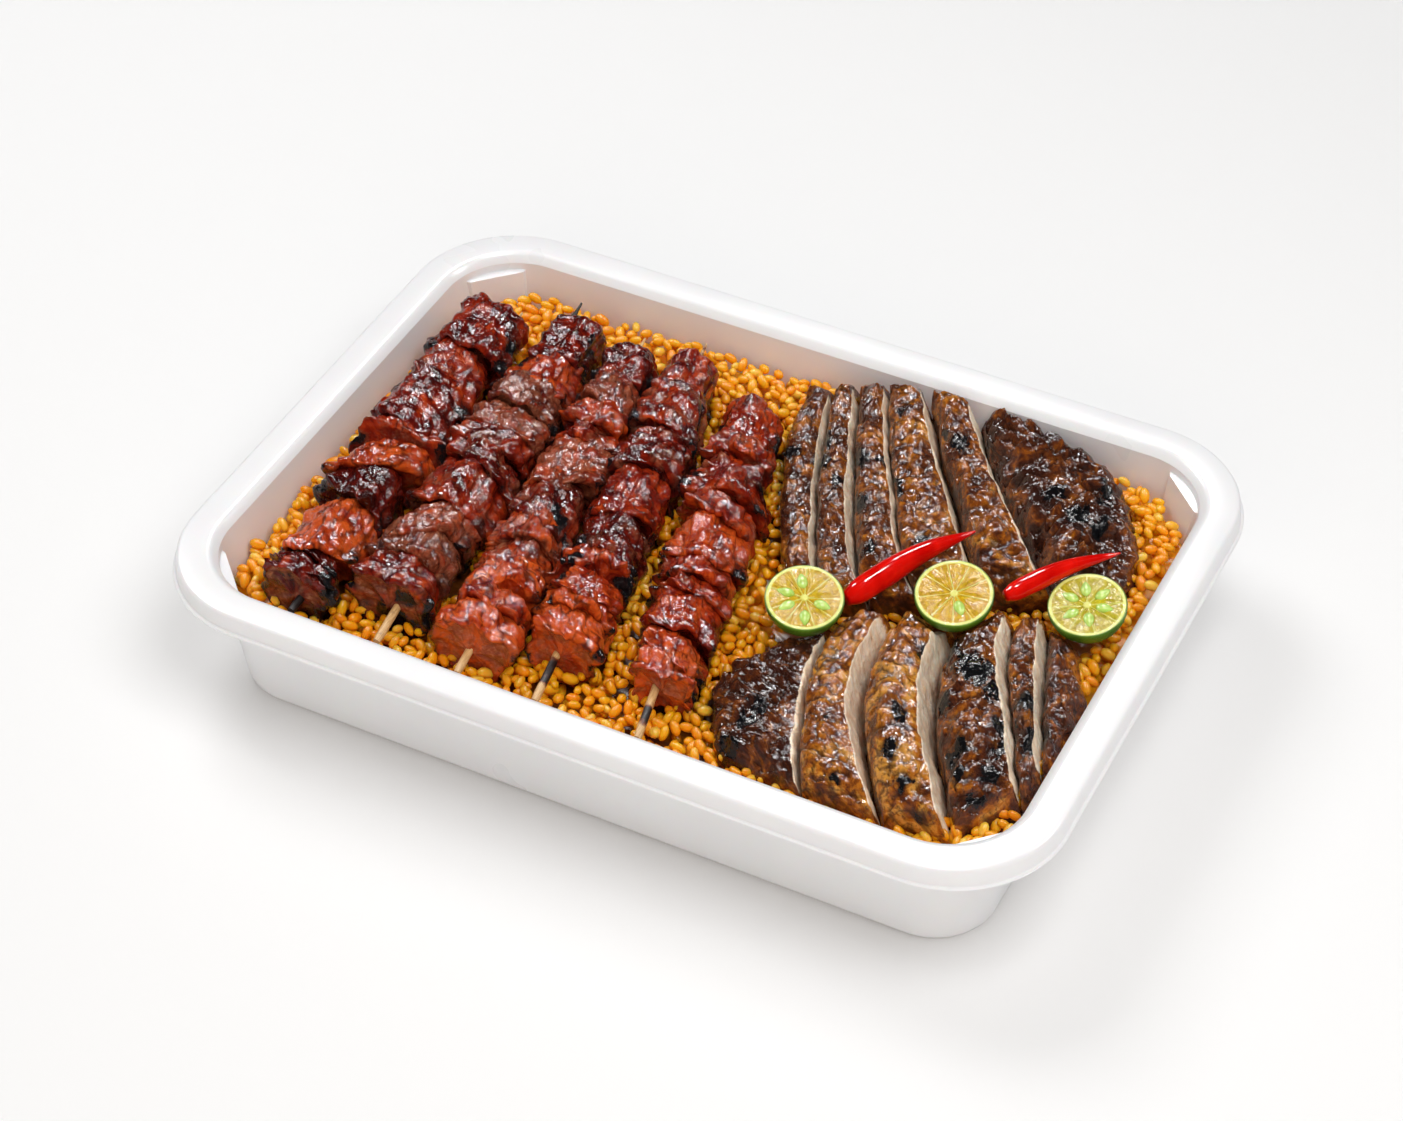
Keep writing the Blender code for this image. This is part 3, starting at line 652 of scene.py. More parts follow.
def wall_insets(t):
    """How far the inner walls stand in along X and along Y, at this share of their rise."""
    return [mix(inset + WALL, RIM_WIDTH + BEVEL, t) for inset in (BASE_INSET_X, BASE_INSET_Y)]


def inner_wall(z, gap=0.0, lug=LUG_IN):
    """The tray's inner wall at height z, or a ring that keeps a gap inside it."""
    t = (z - WALL_LOW) / (WALL_HIGH - WALL_LOW)
    inset_x, inset_y = wall_insets(t)
    radius = mix(BASE_CORNER - WALL, RIM_CORNER - RIM_WIDTH - BEVEL + RIM_ROUND, t) - gap
    return tray_ring(inset_x + gap, inset_y + gap, radius, z, lug)


def inside_tray(points, margin=1.0):
    """Points moved to keep this margin from the tray's inner walls and corner lugs."""
    x, y, z = np.moveaxis(points, -1, 0)
    inset_x, inset_y = wall_insets(np.minimum((z - WALL_LOW) / (WALL_HIGH - WALL_LOW), 1.15))
    half_x = TRAY_LENGTH / 2 - inset_x - margin
    half_y = TRAY_WIDTH / 2 - inset_y - margin
    ax, ay = np.minimum(np.abs(x), half_x), np.minimum(np.abs(y), half_y)
    over_x, over_y = ax - half_x + BASE_CORNER, ay - half_y + BASE_CORNER
    length = np.maximum(np.hypot(over_x, over_y), 1e-9)
    outside = (over_x > 0) & (over_y > 0) & (length > BASE_CORNER)
    ax = np.where(outside, half_x - BASE_CORNER + over_x * BASE_CORNER / length, ax)
    ay = np.where(outside, half_y - BASE_CORNER + over_y * BASE_CORNER / length, ay)
    past_lug = np.maximum(ax + ay - (half_x + half_y - 0.72 * BASE_CORNER - LUG_IN * math.sqrt(2)), 0)
    return stacked(np.copysign(ax - past_lug / 2, x), np.copysign(ay - past_lug / 2, y), z)


def rounded(low_ring, high_ring, bulge, steps=4):
    """Rings that turn from one ring to the next on a quarter round; bulge picks which side it swells to."""
    rings = []
    for step in range(1, steps):
        angle = math.pi / 2 * step / steps
        shares = math.sin(angle), 1 - math.cos(angle)
        flat, rise = shares if bulge == "out" else reversed(shares)
        ring = mix(low_ring, high_ring, flat)
        ring[:, 2] = mix(low_ring[:, 2], high_ring[:, 2], rise)
        rings.append(ring)
    return rings


def build_tray(look):
    top = TRAY_HEIGHT
    wall_inset = RIM_WIDTH + BEVEL - WALL
    wall_corner = RIM_CORNER - wall_inset + RIM_ROUND
    inner_corner = RIM_CORNER - RIM_WIDTH + RIM_ROUND
    lip_z = top - SKIRT_DROP
    lip_corner = RIM_CORNER + LIP_OUT
    foot = tray_ring(BASE_INSET_X + FOOT_ROUND, BASE_INSET_Y + FOOT_ROUND, BASE_CORNER - FOOT_ROUND, 0)
    heel = tray_ring(BASE_INSET_X, BASE_INSET_Y, BASE_CORNER, FOOT_ROUND)
    skirt = rim_ring(0, RIM_CORNER, top - RIM_ROUND)
    crown = rim_ring(RIM_ROUND, RIM_CORNER - RIM_ROUND, top)
    rings = [foot, *rounded(foot, heel, "out"), heel]
    rings += [
        rim_ring(wall_inset, wall_corner, top - 3),
        rim_ring(wall_inset - 0.6, wall_corner, top - WALL),
        rim_ring(WALL, RIM_CORNER - WALL, top - WALL),
        rim_ring(WALL - 0.4, RIM_CORNER - WALL, lip_z - LIP_THICK),
        rim_ring(0.3 - LIP_OUT, lip_corner, lip_z - LIP_THICK),
        rim_ring(-LIP_OUT, lip_corner, lip_z - 0.7 * LIP_THICK),
        rim_ring(-LIP_OUT, lip_corner, lip_z - 0.3 * LIP_THICK),
        rim_ring(0.3 - LIP_OUT, lip_corner, lip_z),
        rim_ring(-0.6, RIM_CORNER + 0.6, lip_z),
        rim_ring(-0.35, RIM_CORNER + 0.35, lip_z + 0.25),
        skirt,
        *rounded(skirt, crown, "in"),
        crown,
        rim_ring(RIM_WIDTH - 0.9, inner_corner + 0.9, top),
        rim_ring(RIM_WIDTH, inner_corner, top - 0.15),
        rim_ring(RIM_WIDTH + 1.3, inner_corner - 1.3, top - 0.9),
        rim_ring(RIM_WIDTH + BEVEL, inner_corner - BEVEL, top - BEVEL),
        inner_wall(SHELF_Z + 0.15, 0, 0),
        inner_wall(SHELF_Z - 0.15),
        inner_wall(SHELF_Z - 0.6),
        inner_wall(40),
        inner_wall(WALL_LOW),
    ]
    floor_edge = inner_wall(WALL_LOW, 4)
    floor_edge[:, 2] = WALL
    rings += [*rounded(rings[-1], floor_edge, "in"), floor_edge]
    parts = Parts()
    parts.add_tube(np.stack(rings))
    return make_piece("tray_shell", parts, look, ["tray"], sharp=28)


# What lies where: search trees over the solids, and places given in the photograph

def solids_tree(names):
    """One search tree over these nodes' solids, in metres."""
    points, faces = [], []
    for name in names:
        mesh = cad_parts[name].data
        first = len(points)
        points += [tuple(v.co) for v in mesh.vertices]
        faces += [[first + i for i in polygon.vertices] for polygon in mesh.polygons]
    return BVHTree.FromPolygons(points, faces)


def camera_axes():
    pan = Matrix.Rotation(math.radians(CAMERA_TURN), 3, "Z")
    turn = pan @ Matrix.Rotation(math.radians(90 - CAMERA_DOWN), 3, "X")
    return turn.col[0], turn.col[1], -turn.col[2]


def picked(tree, u, v):
    """Where the photograph's pixel (u, v) falls on these solids, in mm, or None."""
    right, up, ahead = camera_axes()
    focal = LENS_MM / SENSOR_MM * PHOTO_WIDTH
    ray = right * (u - PHOTO_WIDTH / 2) - up * (v - PHOTO_HEIGHT / 2) + ahead * focal
    found = tree.ray_cast(Vector(CAMERA_PLACE), ray.normalized())[0]
    return None if found is None else np.array(found) / MM


def burn_places(tree, burns):
    """For each burnt spot: where it falls, the way in which the photograph looks at it, and its radius."""
    eye = np.array(CAMERA_PLACE) / MM
    spots = []
    for u, v, radius in burns:
        place = picked(tree, u, v)
        if place is not None:
            spots.append((place, (place - eye) / np.linalg.norm(place - eye), radius))
    return spots


def burnt_near(points, places, depth=7.0):
    """How burnt each point is, from 0 to 1, by the burnt spots on the surface near it."""
    worst = np.zeros(points.shape[:-1])
    ragged = points + drift(points, 4.5, 60) * 2.2
    for place, ahead, radius in places:
        offset = ragged - place
        along_view = offset @ ahead
        away = np.linalg.norm(offset - along_view[..., None] * ahead, axis=-1) / radius
        worst = np.maximum(worst, np.exp(-((away / 1.15) ** 2)) * (np.abs(along_view) < depth))
    return worst


def crumple(points, seed, size=8.0, stretch=(0.8, 1.25, 0.8), turn=0.0):
    """Puffy relief in mm, of round lobes at three sizes with sharp creases, and how deep each point lies,
    which sets the painted shade in the creases.
    """
    shift = drift(points, 0.9 * size, seed, 0.1)
    place = spun(points + 0.3 * size * shift, turn) * stretch
    large = np.abs(noise(place, size, seed + 1))
    middle = np.abs(noise(place, 0.45 * size, seed + 2))
    small = np.abs(noise(points + 0.1 * size * shift, 0.21 * size, seed + 3))
    lift = size * (0.40 * (large - 0.3) + 0.17 * (middle - 0.3) + 0.022 * (small - 0.3))
    # How deep each point lies in a crease, which the materials turn into painted shade
    hollow = 1 - smoothstep(0.02, 0.16, large) * (0.35 + 0.65 * smoothstep(0.0, 0.14, middle))
    return lift, hollow


# Skewers

AROUND = 100
TAB_ANGLES = (0.3, 0.7, 1.0, 2.2, 2.5, 2.9)
FOLD_ROWS = 44
FOLD_PROFILE = (
    (-0.34, 0.20), (-0.30, 0.55), (-0.16, 0.80), (0.02, 0.89), (0.25, 0.95), (0.50, 1.0), (0.75, 1.03),
    (0.93, 1.04), (1.03, 1.00), (1.04, 0.92), (0.97, 0.82), (0.92, 0.62), (0.95, 0.35), (1.0, 0.10),
)


def line_x(line, y):
    """Where this line over the tray stands at y."""
    (x0, y0), (x1, y1) = line
    return mix(x0, x1, (y - y0) / (y1 - y0))


def add_fold(parts, skewer, far, near, radius, seed, look):
    """One turn of a folded slice: a crumpled band whose near rim stands over the next one."""
    own = np.random.default_rng(seed)
    steps = once_round(AROUND)
    angles = steps + 0.4 * np.cos(steps)
    cos, sin = np.cos(angles), np.sin(angles)
    share = np.linspace(0, 1, FOLD_ROWS)
    profile = along(FOLD_PROFILE, share)
    run, reach = profile[:, :1], profile[:, 1:]
    if look["end"] == "far":
        run = np.maximum(run, -0.06)
    reach = reach + own.uniform(-0.02, 0.13) * smoothstep(-0.3, 0.0, run) * (1 - smoothstep(0.2, 0.7, run))
    rim = np.exp(-(((share[:, None] - 0.58) / 0.13) ** 2))
    circle = stacked(cos, sin, 0)
    power = own.uniform(2.2, 3.8)
    roll = own.uniform(-0.6, 0.6)
    square = (np.abs(np.cos(angles - roll)) ** power + np.abs(np.sin(angles - roll)) ** power) ** (-1 / power)
    uneven = 0.94 + 0.15 * noise(circle * 1.3, 1, seed) + 0.08 * noise(circle * 3.1, 1, seed + 0.5)
    size = radius * reach * square * uneven
    tabs = np.zeros_like(angles)
    corners = own.choice(TAB_ANGLES, own.integers(2, 5), replace=False) + own.uniform(-0.15, 0.15)
    for corner in corners:
        gap = (angles - corner + math.pi) % math.tau - math.pi
        tabs = np.maximum(tabs, own.uniform(0.5, 1.0) * np.exp(-((gap / own.uniform(0.12, 0.26)) ** 2)))
    size = size + radius * 0.30 * tabs * rim
    lean = own.uniform(-0.5, 0.5) * (0.3 if look["end"] else 1)
    way = own.uniform(0, math.tau)
    wander = noise(circle * 1.4, 1, seed + 2) * 2.6 + noise(circle * 4.5, 1, seed + 3) * 1.1
    y = far - run * (far - near) - lean * size * np.cos(angles - way) + wander * (0.4 + 0.6 * rim)
    points = stacked(line_x(skewer["meat"], y) + size * cos, y, MEAT_Z + 0.92 * size * sin)
    lift, hollow = crumple(points, seed, turn=own.uniform(-0.8, 0.8))
    burns = burnt_near(points, look["burns"])
    edge = rim * (0.78 + 0.6 * noise(points, 5.0, seed + 6)) * smoothstep(-0.2, 0.5, sin)
    tipped = np.maximum(edge * look["char"], tabs * rim * (0.55 + 0.45 * look["char"]))
    char = np.clip(np.maximum(tipped, burns), 0, 1)
    lift = lift + 0.35 * char * noise(points, 1.3, seed + 7)
    points = points + stacked(cos, 0, sin) * (lift * smoothstep(0.15, 0.6, reach))[..., None]
    points[..., 2] = np.maximum(points[..., 2], FOOD_FLOOR - 0.4 + 0.2 * sin)
    points = inside_tray(points)
    face = smoothstep(0.66, 0.76, share)[:, None] * np.ones_like(angles)
    tone = look["tone"] + own.uniform(-0.16, 0.16) - 0.25 * face * (1 - look["near_face"])
    # Each point's crease depth goes along to paint shade in the creases
    parts.add_tube(
        points[:, ::-1], char=char, hollow=hollow * (1 - 0.6 * face), tone=np.clip(tone, 0, 1),
        pale=np.clip(look["pale"] + 0.5 * face * look["near_face"], 0, 1),
    )


def build_chunk(name, skewer, index, burns, look, seed):
    """One slice of pork, as the turns of meat that it shows."""
    far, near = skewer["cuts"][index : index + 2]
    radius = skewer["radii"][index]
    folds = skewer["folds"][index]
    own = np.random.default_rng(seed)
    marks = np.cumsum(own.uniform(0.8, 1.25, folds))
    marks = np.concatenate([[0], marks / marks[-1]])
    parts = Parts()
    for turn in range(folds):
        nearest = index + 1 == len(skewer["radii"]) and turn + 1 == folds
        traits = {key: skewer[key][index] for key in ("tone", "pale", "char")}
        traits["burns"] = burns
        traits["near_face"] = float(nearest)
        traits["end"] = "far" if index + turn == 0 else "near" if nearest else ""
        start, end = mix(far, near, marks[turn]), mix(far, near, marks[turn + 1])
        size = radius * own.uniform(0.93, 1.05)
        add_fold(parts, skewer, start, end, size, seed + 10 * turn, traits)
    return make_piece(f"{name}_folds", parts, look, [name])


def build_stick(name, skewer, look):
    (_, far), (_, near) = skewer["stick"]
    sides, rows = 20, 60
    y = np.linspace(far, near, rows)[:, None]
    angles = once_round(sides)
    taper = mix(0.30, 1.0, smoothstep(0, 14, far - y)) if skewer["stick_tip"] else np.ones_like(y)
    knots = 1 + 0.05 * noise(stacked(y, 0, 0), 9, 7)
    size = STICK_RADIUS * taper * knots * (1 + 0.05 * np.cos(2 * angles + 1))
    size[-1] *= 0.86
    grid = stacked(line_x(skewer["stick"], y) + size * np.cos(angles), y, MEAT_Z + size * np.sin(angles))
    far_char, near_char, scorch_from, scorch_to = skewer["stick_char"]
    meat_far, meat_near = skewer["cuts"][0], skewer["cuts"][-1]
    out = meat_near - y
    scorch = smoothstep(scorch_from, scorch_from + 3, out) * (1 - smoothstep(scorch_to, scorch_to + 3, out))
    char = far_char * smoothstep(-16, 0, y - meat_far) + near_char * scorch
    parts = Parts()
    parts.add_tube(grid[:, ::-1], char=char)
    return make_piece(f"{name}_bamboo", parts, look, [f"{name}_stick"], sharp=50)


# Chicken

def cut_line(points, t, z, offset):
    """Points on the leaning cut through these plan points, moved right by offset."""
    here = along(points, t)
    ahead = along(points, np.minimum(t + 0.02, 1)) - along(points, np.maximum(t - 0.02, 0))
    right = stacked(-ahead[..., 1], ahead[..., 0])
    right /= np.linalg.norm(right, axis=-1, keepdims=True)
    right *= np.where(right[..., :1] < 0, -1, 1)
    spot = here + right * (CUT_LEAN * (CUT_Z - z) + offset)[..., None]
    return stacked(spot[..., 0], spot[..., 1], z), right


def under_toppings(points):
    """Points lowered to keep clear of the citrus halves and chillies that lie on the chicken."""
    x, y, z = np.moveaxis(points, -1, 0)
    bowls = [(spec["centre"], CITRUS_RADIUS + 2.0, CITRUS_DEPTH, 2.0) for spec in CITRUS.values()]
    for line, radius in CHILLIES.values():
        bowls += [(spot, radius + 0.8, radius, 0.0) for spot in along(line, np.linspace(0, 1, 30))]
    limit = np.full(z.shape, 2 * TRAY_HEIGHT)
    for (cx, cy, cz), reach, depth, gap in bowls:
        away = np.hypot(x - cx, y - cy) / reach
        under = cz - depth * np.sqrt(np.clip(1 - away**2, 0, 1)) - gap
        limit = np.where(away < 1, np.minimum(limit, under), limit)
    return stacked(x, y, np.minimum(z, limit))


def build_slice(name, index, traits, burns, look, seed):
    """One slice: crumpled skin over a soft left shoulder, and a fibrous cut face on the right."""
    rows, skin_steps, face_steps = 130, 52, 22
    t = np.linspace(0.015, 0.985, rows)[:, None]
    tip = np.minimum(1, (np.minimum(t, 1 - t) / 0.05 + 0.15) ** 0.6)
    far_share, near_share = traits["ends"]
    dome = tip * (1 - (1 - mix(far_share, near_share, t)) * np.abs(2 * t - 1) ** 2)
    height = (traits["tops"][index] - FOOD_FLOOR) * np.maximum(dome, 0.2)
    shoulder = traits["shoulders"][index]
    last = index + 1 == len(traits["tops"])
    crown = ((0.5, 1.0), (0.8, 0.97), (0.96, 0.84)) if last else ((0.5, 1.0), (0.82, 1.02), (0.99, 0.97))
    curve = ((0, 0), (0, 0.6 * shoulder), (0.03, shoulder), (0.18, mix(shoulder, 1, 0.62)), *crown)
    skin = along(curve, np.linspace(0, 1, skin_steps))
    face = stacked(1.0, np.linspace(0.72 if last else 0.93, 0, face_steps))
    outline = np.vstack([skin, face])
    across, rise = outline[None, :, 0], outline[None, :, 1]
    z = FOOD_FLOOR + height * rise
    shares = np.broadcast_to(t, z.shape)
    left_cut, right_cut = traits["cuts"][index : index + 2]
    low, _ = cut_line(left_cut, shares, z, np.full(z.shape, CUT_GAP))
    high, right = cut_line(right_cut, shares, z, np.full(z.shape, -CUT_GAP))
    points = mix(low, high, across[..., None])
    points[..., :2] += right * (0.9 * noise(points * (1, 1, 0), 10, 77))[..., None]
    on_skin = np.concatenate([np.ones(skin_steps), np.zeros(face_steps)])[None, :]
    upper = smoothstep(0.2, 0.7, rise)
    lift, hollow = crumple(points, seed, 6.5, (1, 1, 1))
    wrinkles = np.abs(noise(points * (1, 0.6, 1), 3.4, seed + 8)) + 0.5 * np.abs(noise(points, 1.7, seed + 9))
    lumps = 1.4 * noise(points, 11, seed) + 1.0 * noise(points, 5.2, seed + 2) + lift + 0.9 * (wrinkles - 0.35)
    lumps *= traits["rough"][index]
    char = burnt_near(points, burns)
    lumps += 0.7 * char * noise(points, 1.3, seed + 7)
    edge_keep = 1 - 0.7 * smoothstep(0.8, 1.0, across)
    points[..., 2] += lumps * upper * edge_keep * (0.2 + 0.8 * on_skin) * tip
    side = 0.6 * noise(points, 5.5, seed + 4) + 0.3 * noise(points * (1, 1, 0.35), 1.5, seed + 5)
    loose = across if last else (1 - across) * (index == 0 and traits is CHICKEN["near"])
    ragged = noise(points, 7, seed + 12) + 0.5 * noise(points, 3.2, seed + 13)
    side = side * (1 - 0.6 * on_skin) + 2.0 * loose * ragged
    points[..., :2] += right * (side * tip)[..., None]
    points[..., 2] = np.clip(points[..., 2], FOOD_FLOOR - 0.3, None)
    points = inside_tray(under_toppings(points))
    cut = 1 - smoothstep(0, 3, np.arange(skin_steps + face_steps)[::-1] - face_steps + 1)
    cut = np.broadcast_to(cut[None, :] * (0.55 + 0.45 * smoothstep(0.0, 0.25, rise)), z.shape)
    ends = smoothstep(0.02, 0.09, np.minimum(t, 1 - t))
    parts = Parts()
    # Each point's crease depth goes along to paint shade in the creases
    parts.add_tube(
        points, char=char, cut=cut * ends * (not last), hollow=hollow * on_skin * edge_keep,
        amber=traits["amber"][index],
    )
    return make_piece(f"{name}_meat", parts, look, [name], sharp=60)


# Toppings

def citrus_matrix(spec):
    turn = Matrix.Rotation(math.radians(spec["turn"]), 4, "Z")
    tilt = Matrix.Rotation(math.radians(spec["tilt"]), 4, "X")
    return np.array(Matrix.Translation(Vector(spec["centre"])) @ turn @ tilt)


def build_citrus(name, spec, look):
    """A citrus half: peel bowl, pith ring, and juicy segments between raised membranes round a white core."""
    columns, bowl_rows = 216, 22
    angles = once_round(columns)
    count = spec["segments"]
    own = np.random.default_rng(count + abs(spec["turn"]))
    walls = (np.arange(count) + own.uniform(-0.16, 0.16, count)) * math.tau / count
    away = np.abs((angles[..., None] - walls + math.pi) % math.tau - math.pi).min(-1)
    radii = np.concatenate([np.linspace(0.02, 0.9, 44), [0.915, 0.93, 0.955, 0.975, 0.99, 1.0]])[:, None]
    reach = radii * CITRUS_RADIUS
    arc = away * reach
    membrane = np.maximum(1 - smoothstep(0.08, 0.26, arc), 1 - smoothstep(0.085, 0.12, radii))
    pith = np.broadcast_to(smoothstep(0.875, 0.905, radii), arc.shape)
    swell = 0.5 * smoothstep(0.2, 1.4, arc) * (1 - pith)
    cells = 0.16 * noise(stacked(away * 9, reach * 0.35, 0), 0.55, 2) * (1 - membrane) * (1 - pith)
    z = mix(swell + cells - 0.5, -0.1, np.maximum(membrane, pith)) - 0.25 * smoothstep(0.975, 1.0, radii)
    face = stacked(reach * np.cos(angles), reach * np.sin(angles), z)
    down = np.linspace(0.06, math.pi / 2 - 0.04, bowl_rows)[:, None]
    dimple = 1 + 0.006 * noise(stacked(np.cos(angles) * 9, np.sin(angles) * 9, down * 9), 1, 5)
    girth = CITRUS_RADIUS * 1.005 * np.cos(down)
    depth = -0.5 - (CITRUS_DEPTH - 0.6) * np.sin(down)
    bowl = stacked(girth * np.cos(angles) * dimple, girth * np.sin(angles) * dimple, depth)
    membrane = np.concatenate([membrane, np.zeros((bowl_rows, columns))])
    pith = np.concatenate([pith, np.ones((bowl_rows, columns))])
    peel = np.broadcast_to(smoothstep(0.955, 0.985, radii), arc.shape)
    peel = np.concatenate([peel, np.ones((bowl_rows, columns))])
    grid = placed(np.concatenate([face, bowl]), citrus_matrix(spec))
    parts = Parts()
    parts.add_tube(grid[:, ::-1], membrane=membrane, pith=pith, peel=peel)
    return make_piece(f"{name}_fruit", parts, look, [name])


def build_seeds(look):
    parts = Parts()
    rows, columns = 14, 18
    t = np.linspace(0.02, 0.98, rows)[:, None]
    around = once_round(columns)
    girth = np.sin(np.pi * t**0.8) ** 0.75
    width, height = 1.8 * girth * np.cos(around), 0.8 * girth * np.sin(around) - 0.1
    for spec in CITRUS.values():
        for turn, share in spec["seeds"]:
            local = stacked((t - 0.5) * 6.2 + share * CITRUS_RADIUS, width, height)
            parts.add_tube(placed(spun(local, math.radians(turn)), citrus_matrix(spec)))
    return make_piece("citrus_seeds", parts, look)


# A chilli's thickness as (share of its length, share of its radius)
CHILLI_PROFILE = (
    (0, 0.45), (0.03, 0.8), (0.10, 1.0), (0.3, 1.02), (0.5, 0.84), (0.7, 0.6), (0.88, 0.32), (1, 0.07),
)


def build_chilli(name, look):
    points, radius = CHILLIES[name]
    rows, sides = 90, 40
    t = np.linspace(0, 1, rows)
    centre = along(points, t)
    run = np.array(points[-1]) - np.array(points[0])
    side_way = np.cross(run, (0, 0, 1))
    side_way /= np.linalg.norm(side_way)
    up_way = np.cross(side_way, run)
    up_way /= np.linalg.norm(up_way)
    size = radius * np.interp(t, *zip(*CHILLI_PROFILE))
    size = np.convolve(np.pad(size, 3, mode="edge"), np.ones(7) / 7, mode="valid")[:, None]
    angles = once_round(sides)
    cos, sin = np.cos(angles), np.sin(angles)
    t = t[:, None]
    creases = 1 + 0.02 * np.cos(3 * angles + 5 * t) + 0.015 * noise(stacked(t * 9, cos, sin), 1, 3)
    spread = (size * creases)[..., None]
    grid = centre[:, None] + spread * (cos[..., None] * side_way + sin[..., None] * up_way)
    parts = Parts()
    parts.add_tube(grid)
    return make_piece(f"{name}_pod", parts, look, [name])


# Rice

def rice_height(x, y):
    """The height of the heap's own surface, in mm."""
    place = stacked(x, y, 0)
    return 33.2 + 1.5 * noise(place, 26, 1) + 0.7 * noise(place, 9, 2)


def is_covered(food_tree, x, y):
    """Whether any food lies over this place, in mm."""
    return food_tree.ray_cast(Vector((x * MM, y * MM, 0.2)), Vector((0, 0, -1)))[0] is not None


def build_rice_core(food_tree, look):
    gap = 0.4
    foot = inner_wall(WALL_LOW, 4 + gap)
    foot[:, 2] = WALL + gap
    heel = inner_wall(WALL_LOW, 1.2 + 2 * gap)
    heel[:, 2] = WALL + 1.2 + gap
    rings = [foot, heel, inner_wall(WALL_LOW + gap, gap), inner_wall(RICE_TOP - 1, gap)]
    edge = inner_wall(RICE_TOP, 1.2 + gap)
    for share in np.linspace(1, 0.03, 60):
        ring = edge * (share, share, 1)
        ring[:, 2] = np.minimum(rice_height(ring[:, 0], ring[:, 1]) - 1.9, RICE_TOP - 0.3)
        ring[:, 2] += 0.5 * noise(ring, 2.8, 3)
        rings.append(ring)
    grid = np.stack(rings)
    # Painted shade: the core darkens where food lies over it or close by, with some sauce soaked in as well
    soak = np.zeros(grid.shape[:2])
    for shift_x, shift_y in ((0, 0), (3, 0), (-3, 0), (0, 3), (0, -3)):
        for at in np.ndindex(soak.shape):
            x, y, _ = grid[at]
            soak[at] += 0.3 * is_covered(food_tree, x + shift_x, y + shift_y)
    parts = Parts()
    parts.add_tube(grid, tone=0.3, soak=np.minimum(soak, 1))
    return make_piece("rice_core", parts, look, ["rice"])


def grain_shape():
    """A plump short grain along X: unit points and faces."""
    sides = 7
    stations = ((-0.88, 0.48), (-0.55, 0.86), (0.0, 1.0), (0.55, 0.86), (0.88, 0.48))
    points = []
    for run, girth in stations:
        for side in range(sides):
            angle = math.tau * side / sides
            points.append((run, girth * math.cos(angle), girth * math.sin(angle)))
    points += [(-1, 0, 0), (1, 0, 0)]
    return np.array(points), [list(reversed(f)) for f in tube_faces(len(stations), sides)]


def build_rice(food_tree, looks):
    """Short grains dropped one on another wherever the rice is open, each resting on those below it."""
    own = np.random.default_rng(23)
    half_x, half_y = 143, 101
    across_x, across_y = np.arange(-half_x, half_x + 1.0), np.arange(-half_y, half_y + 1.0)
    surface = rice_height(*np.meshgrid(across_x, across_y, indexing="ij")) - 2.2
    shape, faces = grain_shape()
    kinds = {name: Parts() for name in looks}
    spots = []
    for layer, chance in enumerate(LAYER_CHANCES):
        for x in np.arange(-half_x + 1, half_x, GRAIN_STEP):
            for y in np.arange(-half_y + 1, half_y, GRAIN_STEP):
                if own.random() < chance:
                    spots.append((layer, x + own.uniform(-1.3, 1.3), y + own.uniform(-1.3, 1.3)))
    for layer, x, y in spots:
        place = np.array([x, y, 35.0])
        if np.abs(inside_tray(place, 2.4 + 0.8 * layer) - place).max() > 0.01:
            continue
        around = [(x, y), (x + 5, y), (x - 5, y), (x, y + 5), (x, y - 5), (x + 4, y - 7)]
        hits = [is_covered(food_tree, u, v) for u, v in around]
        if sum(hits) >= (4 if abs(x) < 115 else 6):
            continue
        turn = own.uniform(0, math.pi)
        size = own.uniform(0.86, 1.14)
        spans = np.array([-0.8, -0.4, 0.0, 0.4, 0.8]) * GRAIN_LONG * size
        i = np.clip(np.rint(x + spans * math.cos(turn) + half_x).astype(int), 0, 2 * half_x)
        j = np.clip(np.rint(y + spans * math.sin(turn) + half_y).astype(int), 0, 2 * half_y)
        below = surface[i, j]
        slope = np.clip((below[-1] - below[0]) / (1.6 * GRAIN_LONG), -0.5, 0.5) + own.uniform(-0.12, 0.12)
        rest = (below - slope * spans).max() + 0.72 * GRAIN_WIDE * size
        if rest > HEAP_LIMIT:
            continue
        for near_i, near_j, span in zip(i, j, spans):
            top = rest + slope * span + 0.55 * GRAIN_WIDE * size
            box = surface[max(near_i - 1, 0) : near_i + 2, max(near_j - 1, 0) : near_j + 2]
            np.maximum(box, top - 0.35, out=box)
        bent = shape * (GRAIN_LONG * size, GRAIN_WIDE * size * own.uniform(0.9, 1.1), GRAIN_WIDE * size)
        bent[:, 1] += own.uniform(-0.35, 0.35) * shape[:, 0] ** 2
        points = spun(spun(bent, -math.atan(slope), "Y"), turn) + (x, y, rest)
        kind = own.choice(list(looks), p=GRAIN_SHARES)
        # Grains among the food darken at random: partly a sauce stain, partly painted shade under the food
        soak = 0.28 * (sum(hits) / len(hits)) * own.random()
        kinds[kind].add_mesh(points, faces, tone=own.random(), soak=soak)
    for kind, made in kinds.items():
        make_piece(f"rice_grains_{kind}", made, looks[kind], ["rice"])


# Floor, light and camera

def build_floor():
    mesh = bpy.data.meshes.new("floor")
    half = 6.0
    corners = [(-half, -half, 0), (half, -half, 0), (half, half, 0), (-half, half, 0)]
    mesh.from_pydata(corners, [], [(0, 1, 2, 3)])
    floor = bpy.data.objects.new("floor", mesh)
    look, _, _ = start_look(
        "pale_floor", Roughness=0.9, Base_Color=(0.93, 0.93, 0.93, 1), Specular_IOR_Level=0.0
    )
    mesh.materials.append(look)
    bpy.context.scene.collection.objects.link(floor)


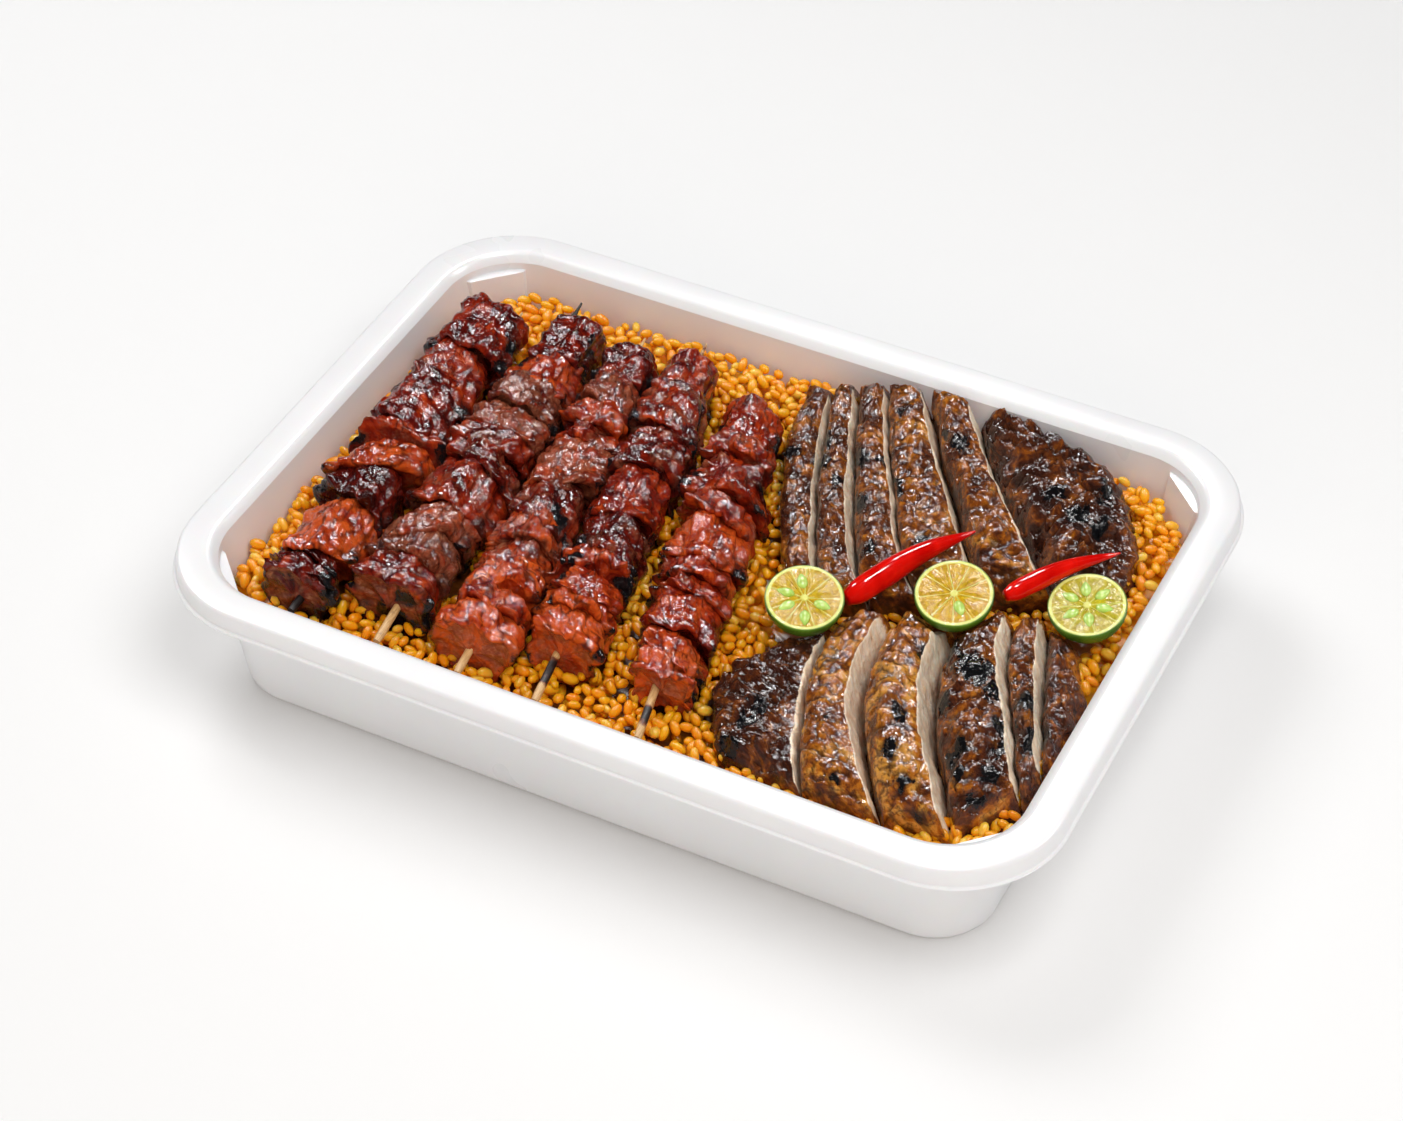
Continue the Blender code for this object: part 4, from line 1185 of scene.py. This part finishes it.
# Lamps: place and size in metres, power in watts, colour, and whether they light bodies or show only as gloss
LAMP_AIM = (0, 0, 0.03)
WHITE = (1, 1, 1)
LAMPS = {
    "key": ((-0.72, 0.34, 1.10), (0.6, 0.6), 5.8, WHITE, "body"),
    "high_right": ((0.55, -0.22, 1.30), (0.8, 0.8), 9.0, WHITE, "body"),
    "front_fill": ((0.55, -1.5, 0.85), (1.6, 1.0), 7.0, (1.0, 0.87, 0.74), "body"),
    "strip_left": ((-0.85, 0.25, 1.0), (0.26, 0.13), 10.5, WHITE, "gloss"),
    "strip_back": ((-0.25, 0.75, 1.05), (0.26, 0.13), 11.0, WHITE, "gloss"),
    "strip_right": ((0.75, 0.60, 1.1), (0.24, 0.13), 9.5, WHITE, "gloss"),
    "strip_top": ((0.05, 0.15, 1.35), (0.24, 0.12), 9.0, WHITE, "gloss"),
}


def add_softbox(name, place, size, power, colour, lights):
    lamp = bpy.data.lights.new(name, "AREA")
    lamp.shape = "RECTANGLE"
    lamp.size, lamp.size_y = size
    lamp.energy = power
    lamp.color = colour
    obj = bpy.data.objects.new(name, lamp)
    obj.location = place
    obj.rotation_euler = (Vector(LAMP_AIM) - Vector(place)).to_track_quat("-Z", "Y").to_euler()
    obj.visible_diffuse = lights == "body"
    obj.visible_glossy = lights == "gloss"
    bpy.context.scene.collection.objects.link(obj)


def build_light():
    world = bpy.data.worlds.new("studio")
    world.use_nodes = True
    background = world.node_tree.nodes["Background"]
    background.inputs["Color"].default_value = (1.0, 1.0, 1.0, 1)
    background.inputs["Strength"].default_value = 0.36
    bpy.context.scene.world = world
    world.cycles_visibility.glossy = False
    for name, traits in LAMPS.items():
        add_softbox(name, *traits)


def build_camera():
    data = bpy.data.cameras.new("camera")
    data.sensor_width = SENSOR_MM
    data.sensor_fit = "HORIZONTAL"
    data.lens = LENS_MM
    camera = bpy.data.objects.new("camera", data)
    camera.location = CAMERA_PLACE
    camera.rotation_euler = (math.radians(90 - CAMERA_DOWN), 0, math.radians(CAMERA_TURN))
    bpy.context.scene.collection.objects.link(camera)
    bpy.context.scene.camera = camera


def build_skewers():
    pork, bamboo = pork_look(), bamboo_look()
    chunks = [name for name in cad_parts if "_pork_" in name]
    burns = burn_places(solids_tree(chunks), PORK_BURNS)
    for number, (name, skewer) in enumerate(SKEWERS.items()):
        build_stick(name, skewer, bamboo)
        for index in range(len(skewer["radii"])):
            build_chunk(f"{name}_pork_{index + 1}", skewer, index, burns, pork, 100 * number + 11 * index + 1)


def build_chicken():
    look = chicken_look()
    slices = [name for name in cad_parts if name.startswith("chicken")]
    burns = burn_places(solids_tree(slices), CHICKEN_BURNS)
    for number, (piece, traits) in enumerate(CHICKEN.items()):
        for index in range(len(traits["tops"])):
            name = f"chicken_{piece}_slice_{index + 1}"
            build_slice(name, index, traits, burns, look, 50 * number + 7 * index + 2)


def build_toppings():
    for name, spec in CITRUS.items():
        build_citrus(name, spec, citrus_look(f"{name}_flesh", spec["gold"]))
    build_seeds(seed_look())
    pod = chilli_look()
    for name in CHILLIES:
        build_chilli(name, pod)


def build_rice_heap():
    looks = {name: rice_look(f"{name}_rice_grain", *ends) for name, ends in GRAIN_COLOURS.items()}
    food_tree = solids_tree([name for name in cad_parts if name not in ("tray", "rice")])
    build_rice_core(food_tree, looks["yellow"])
    build_rice(food_tree, looks)


bpy.context.scene.view_settings.view_transform = "Standard"
build_camera()
build_light()
build_floor()
build_tray(plastic_look())
build_skewers()
build_chicken()
build_toppings()
build_rice_heap()
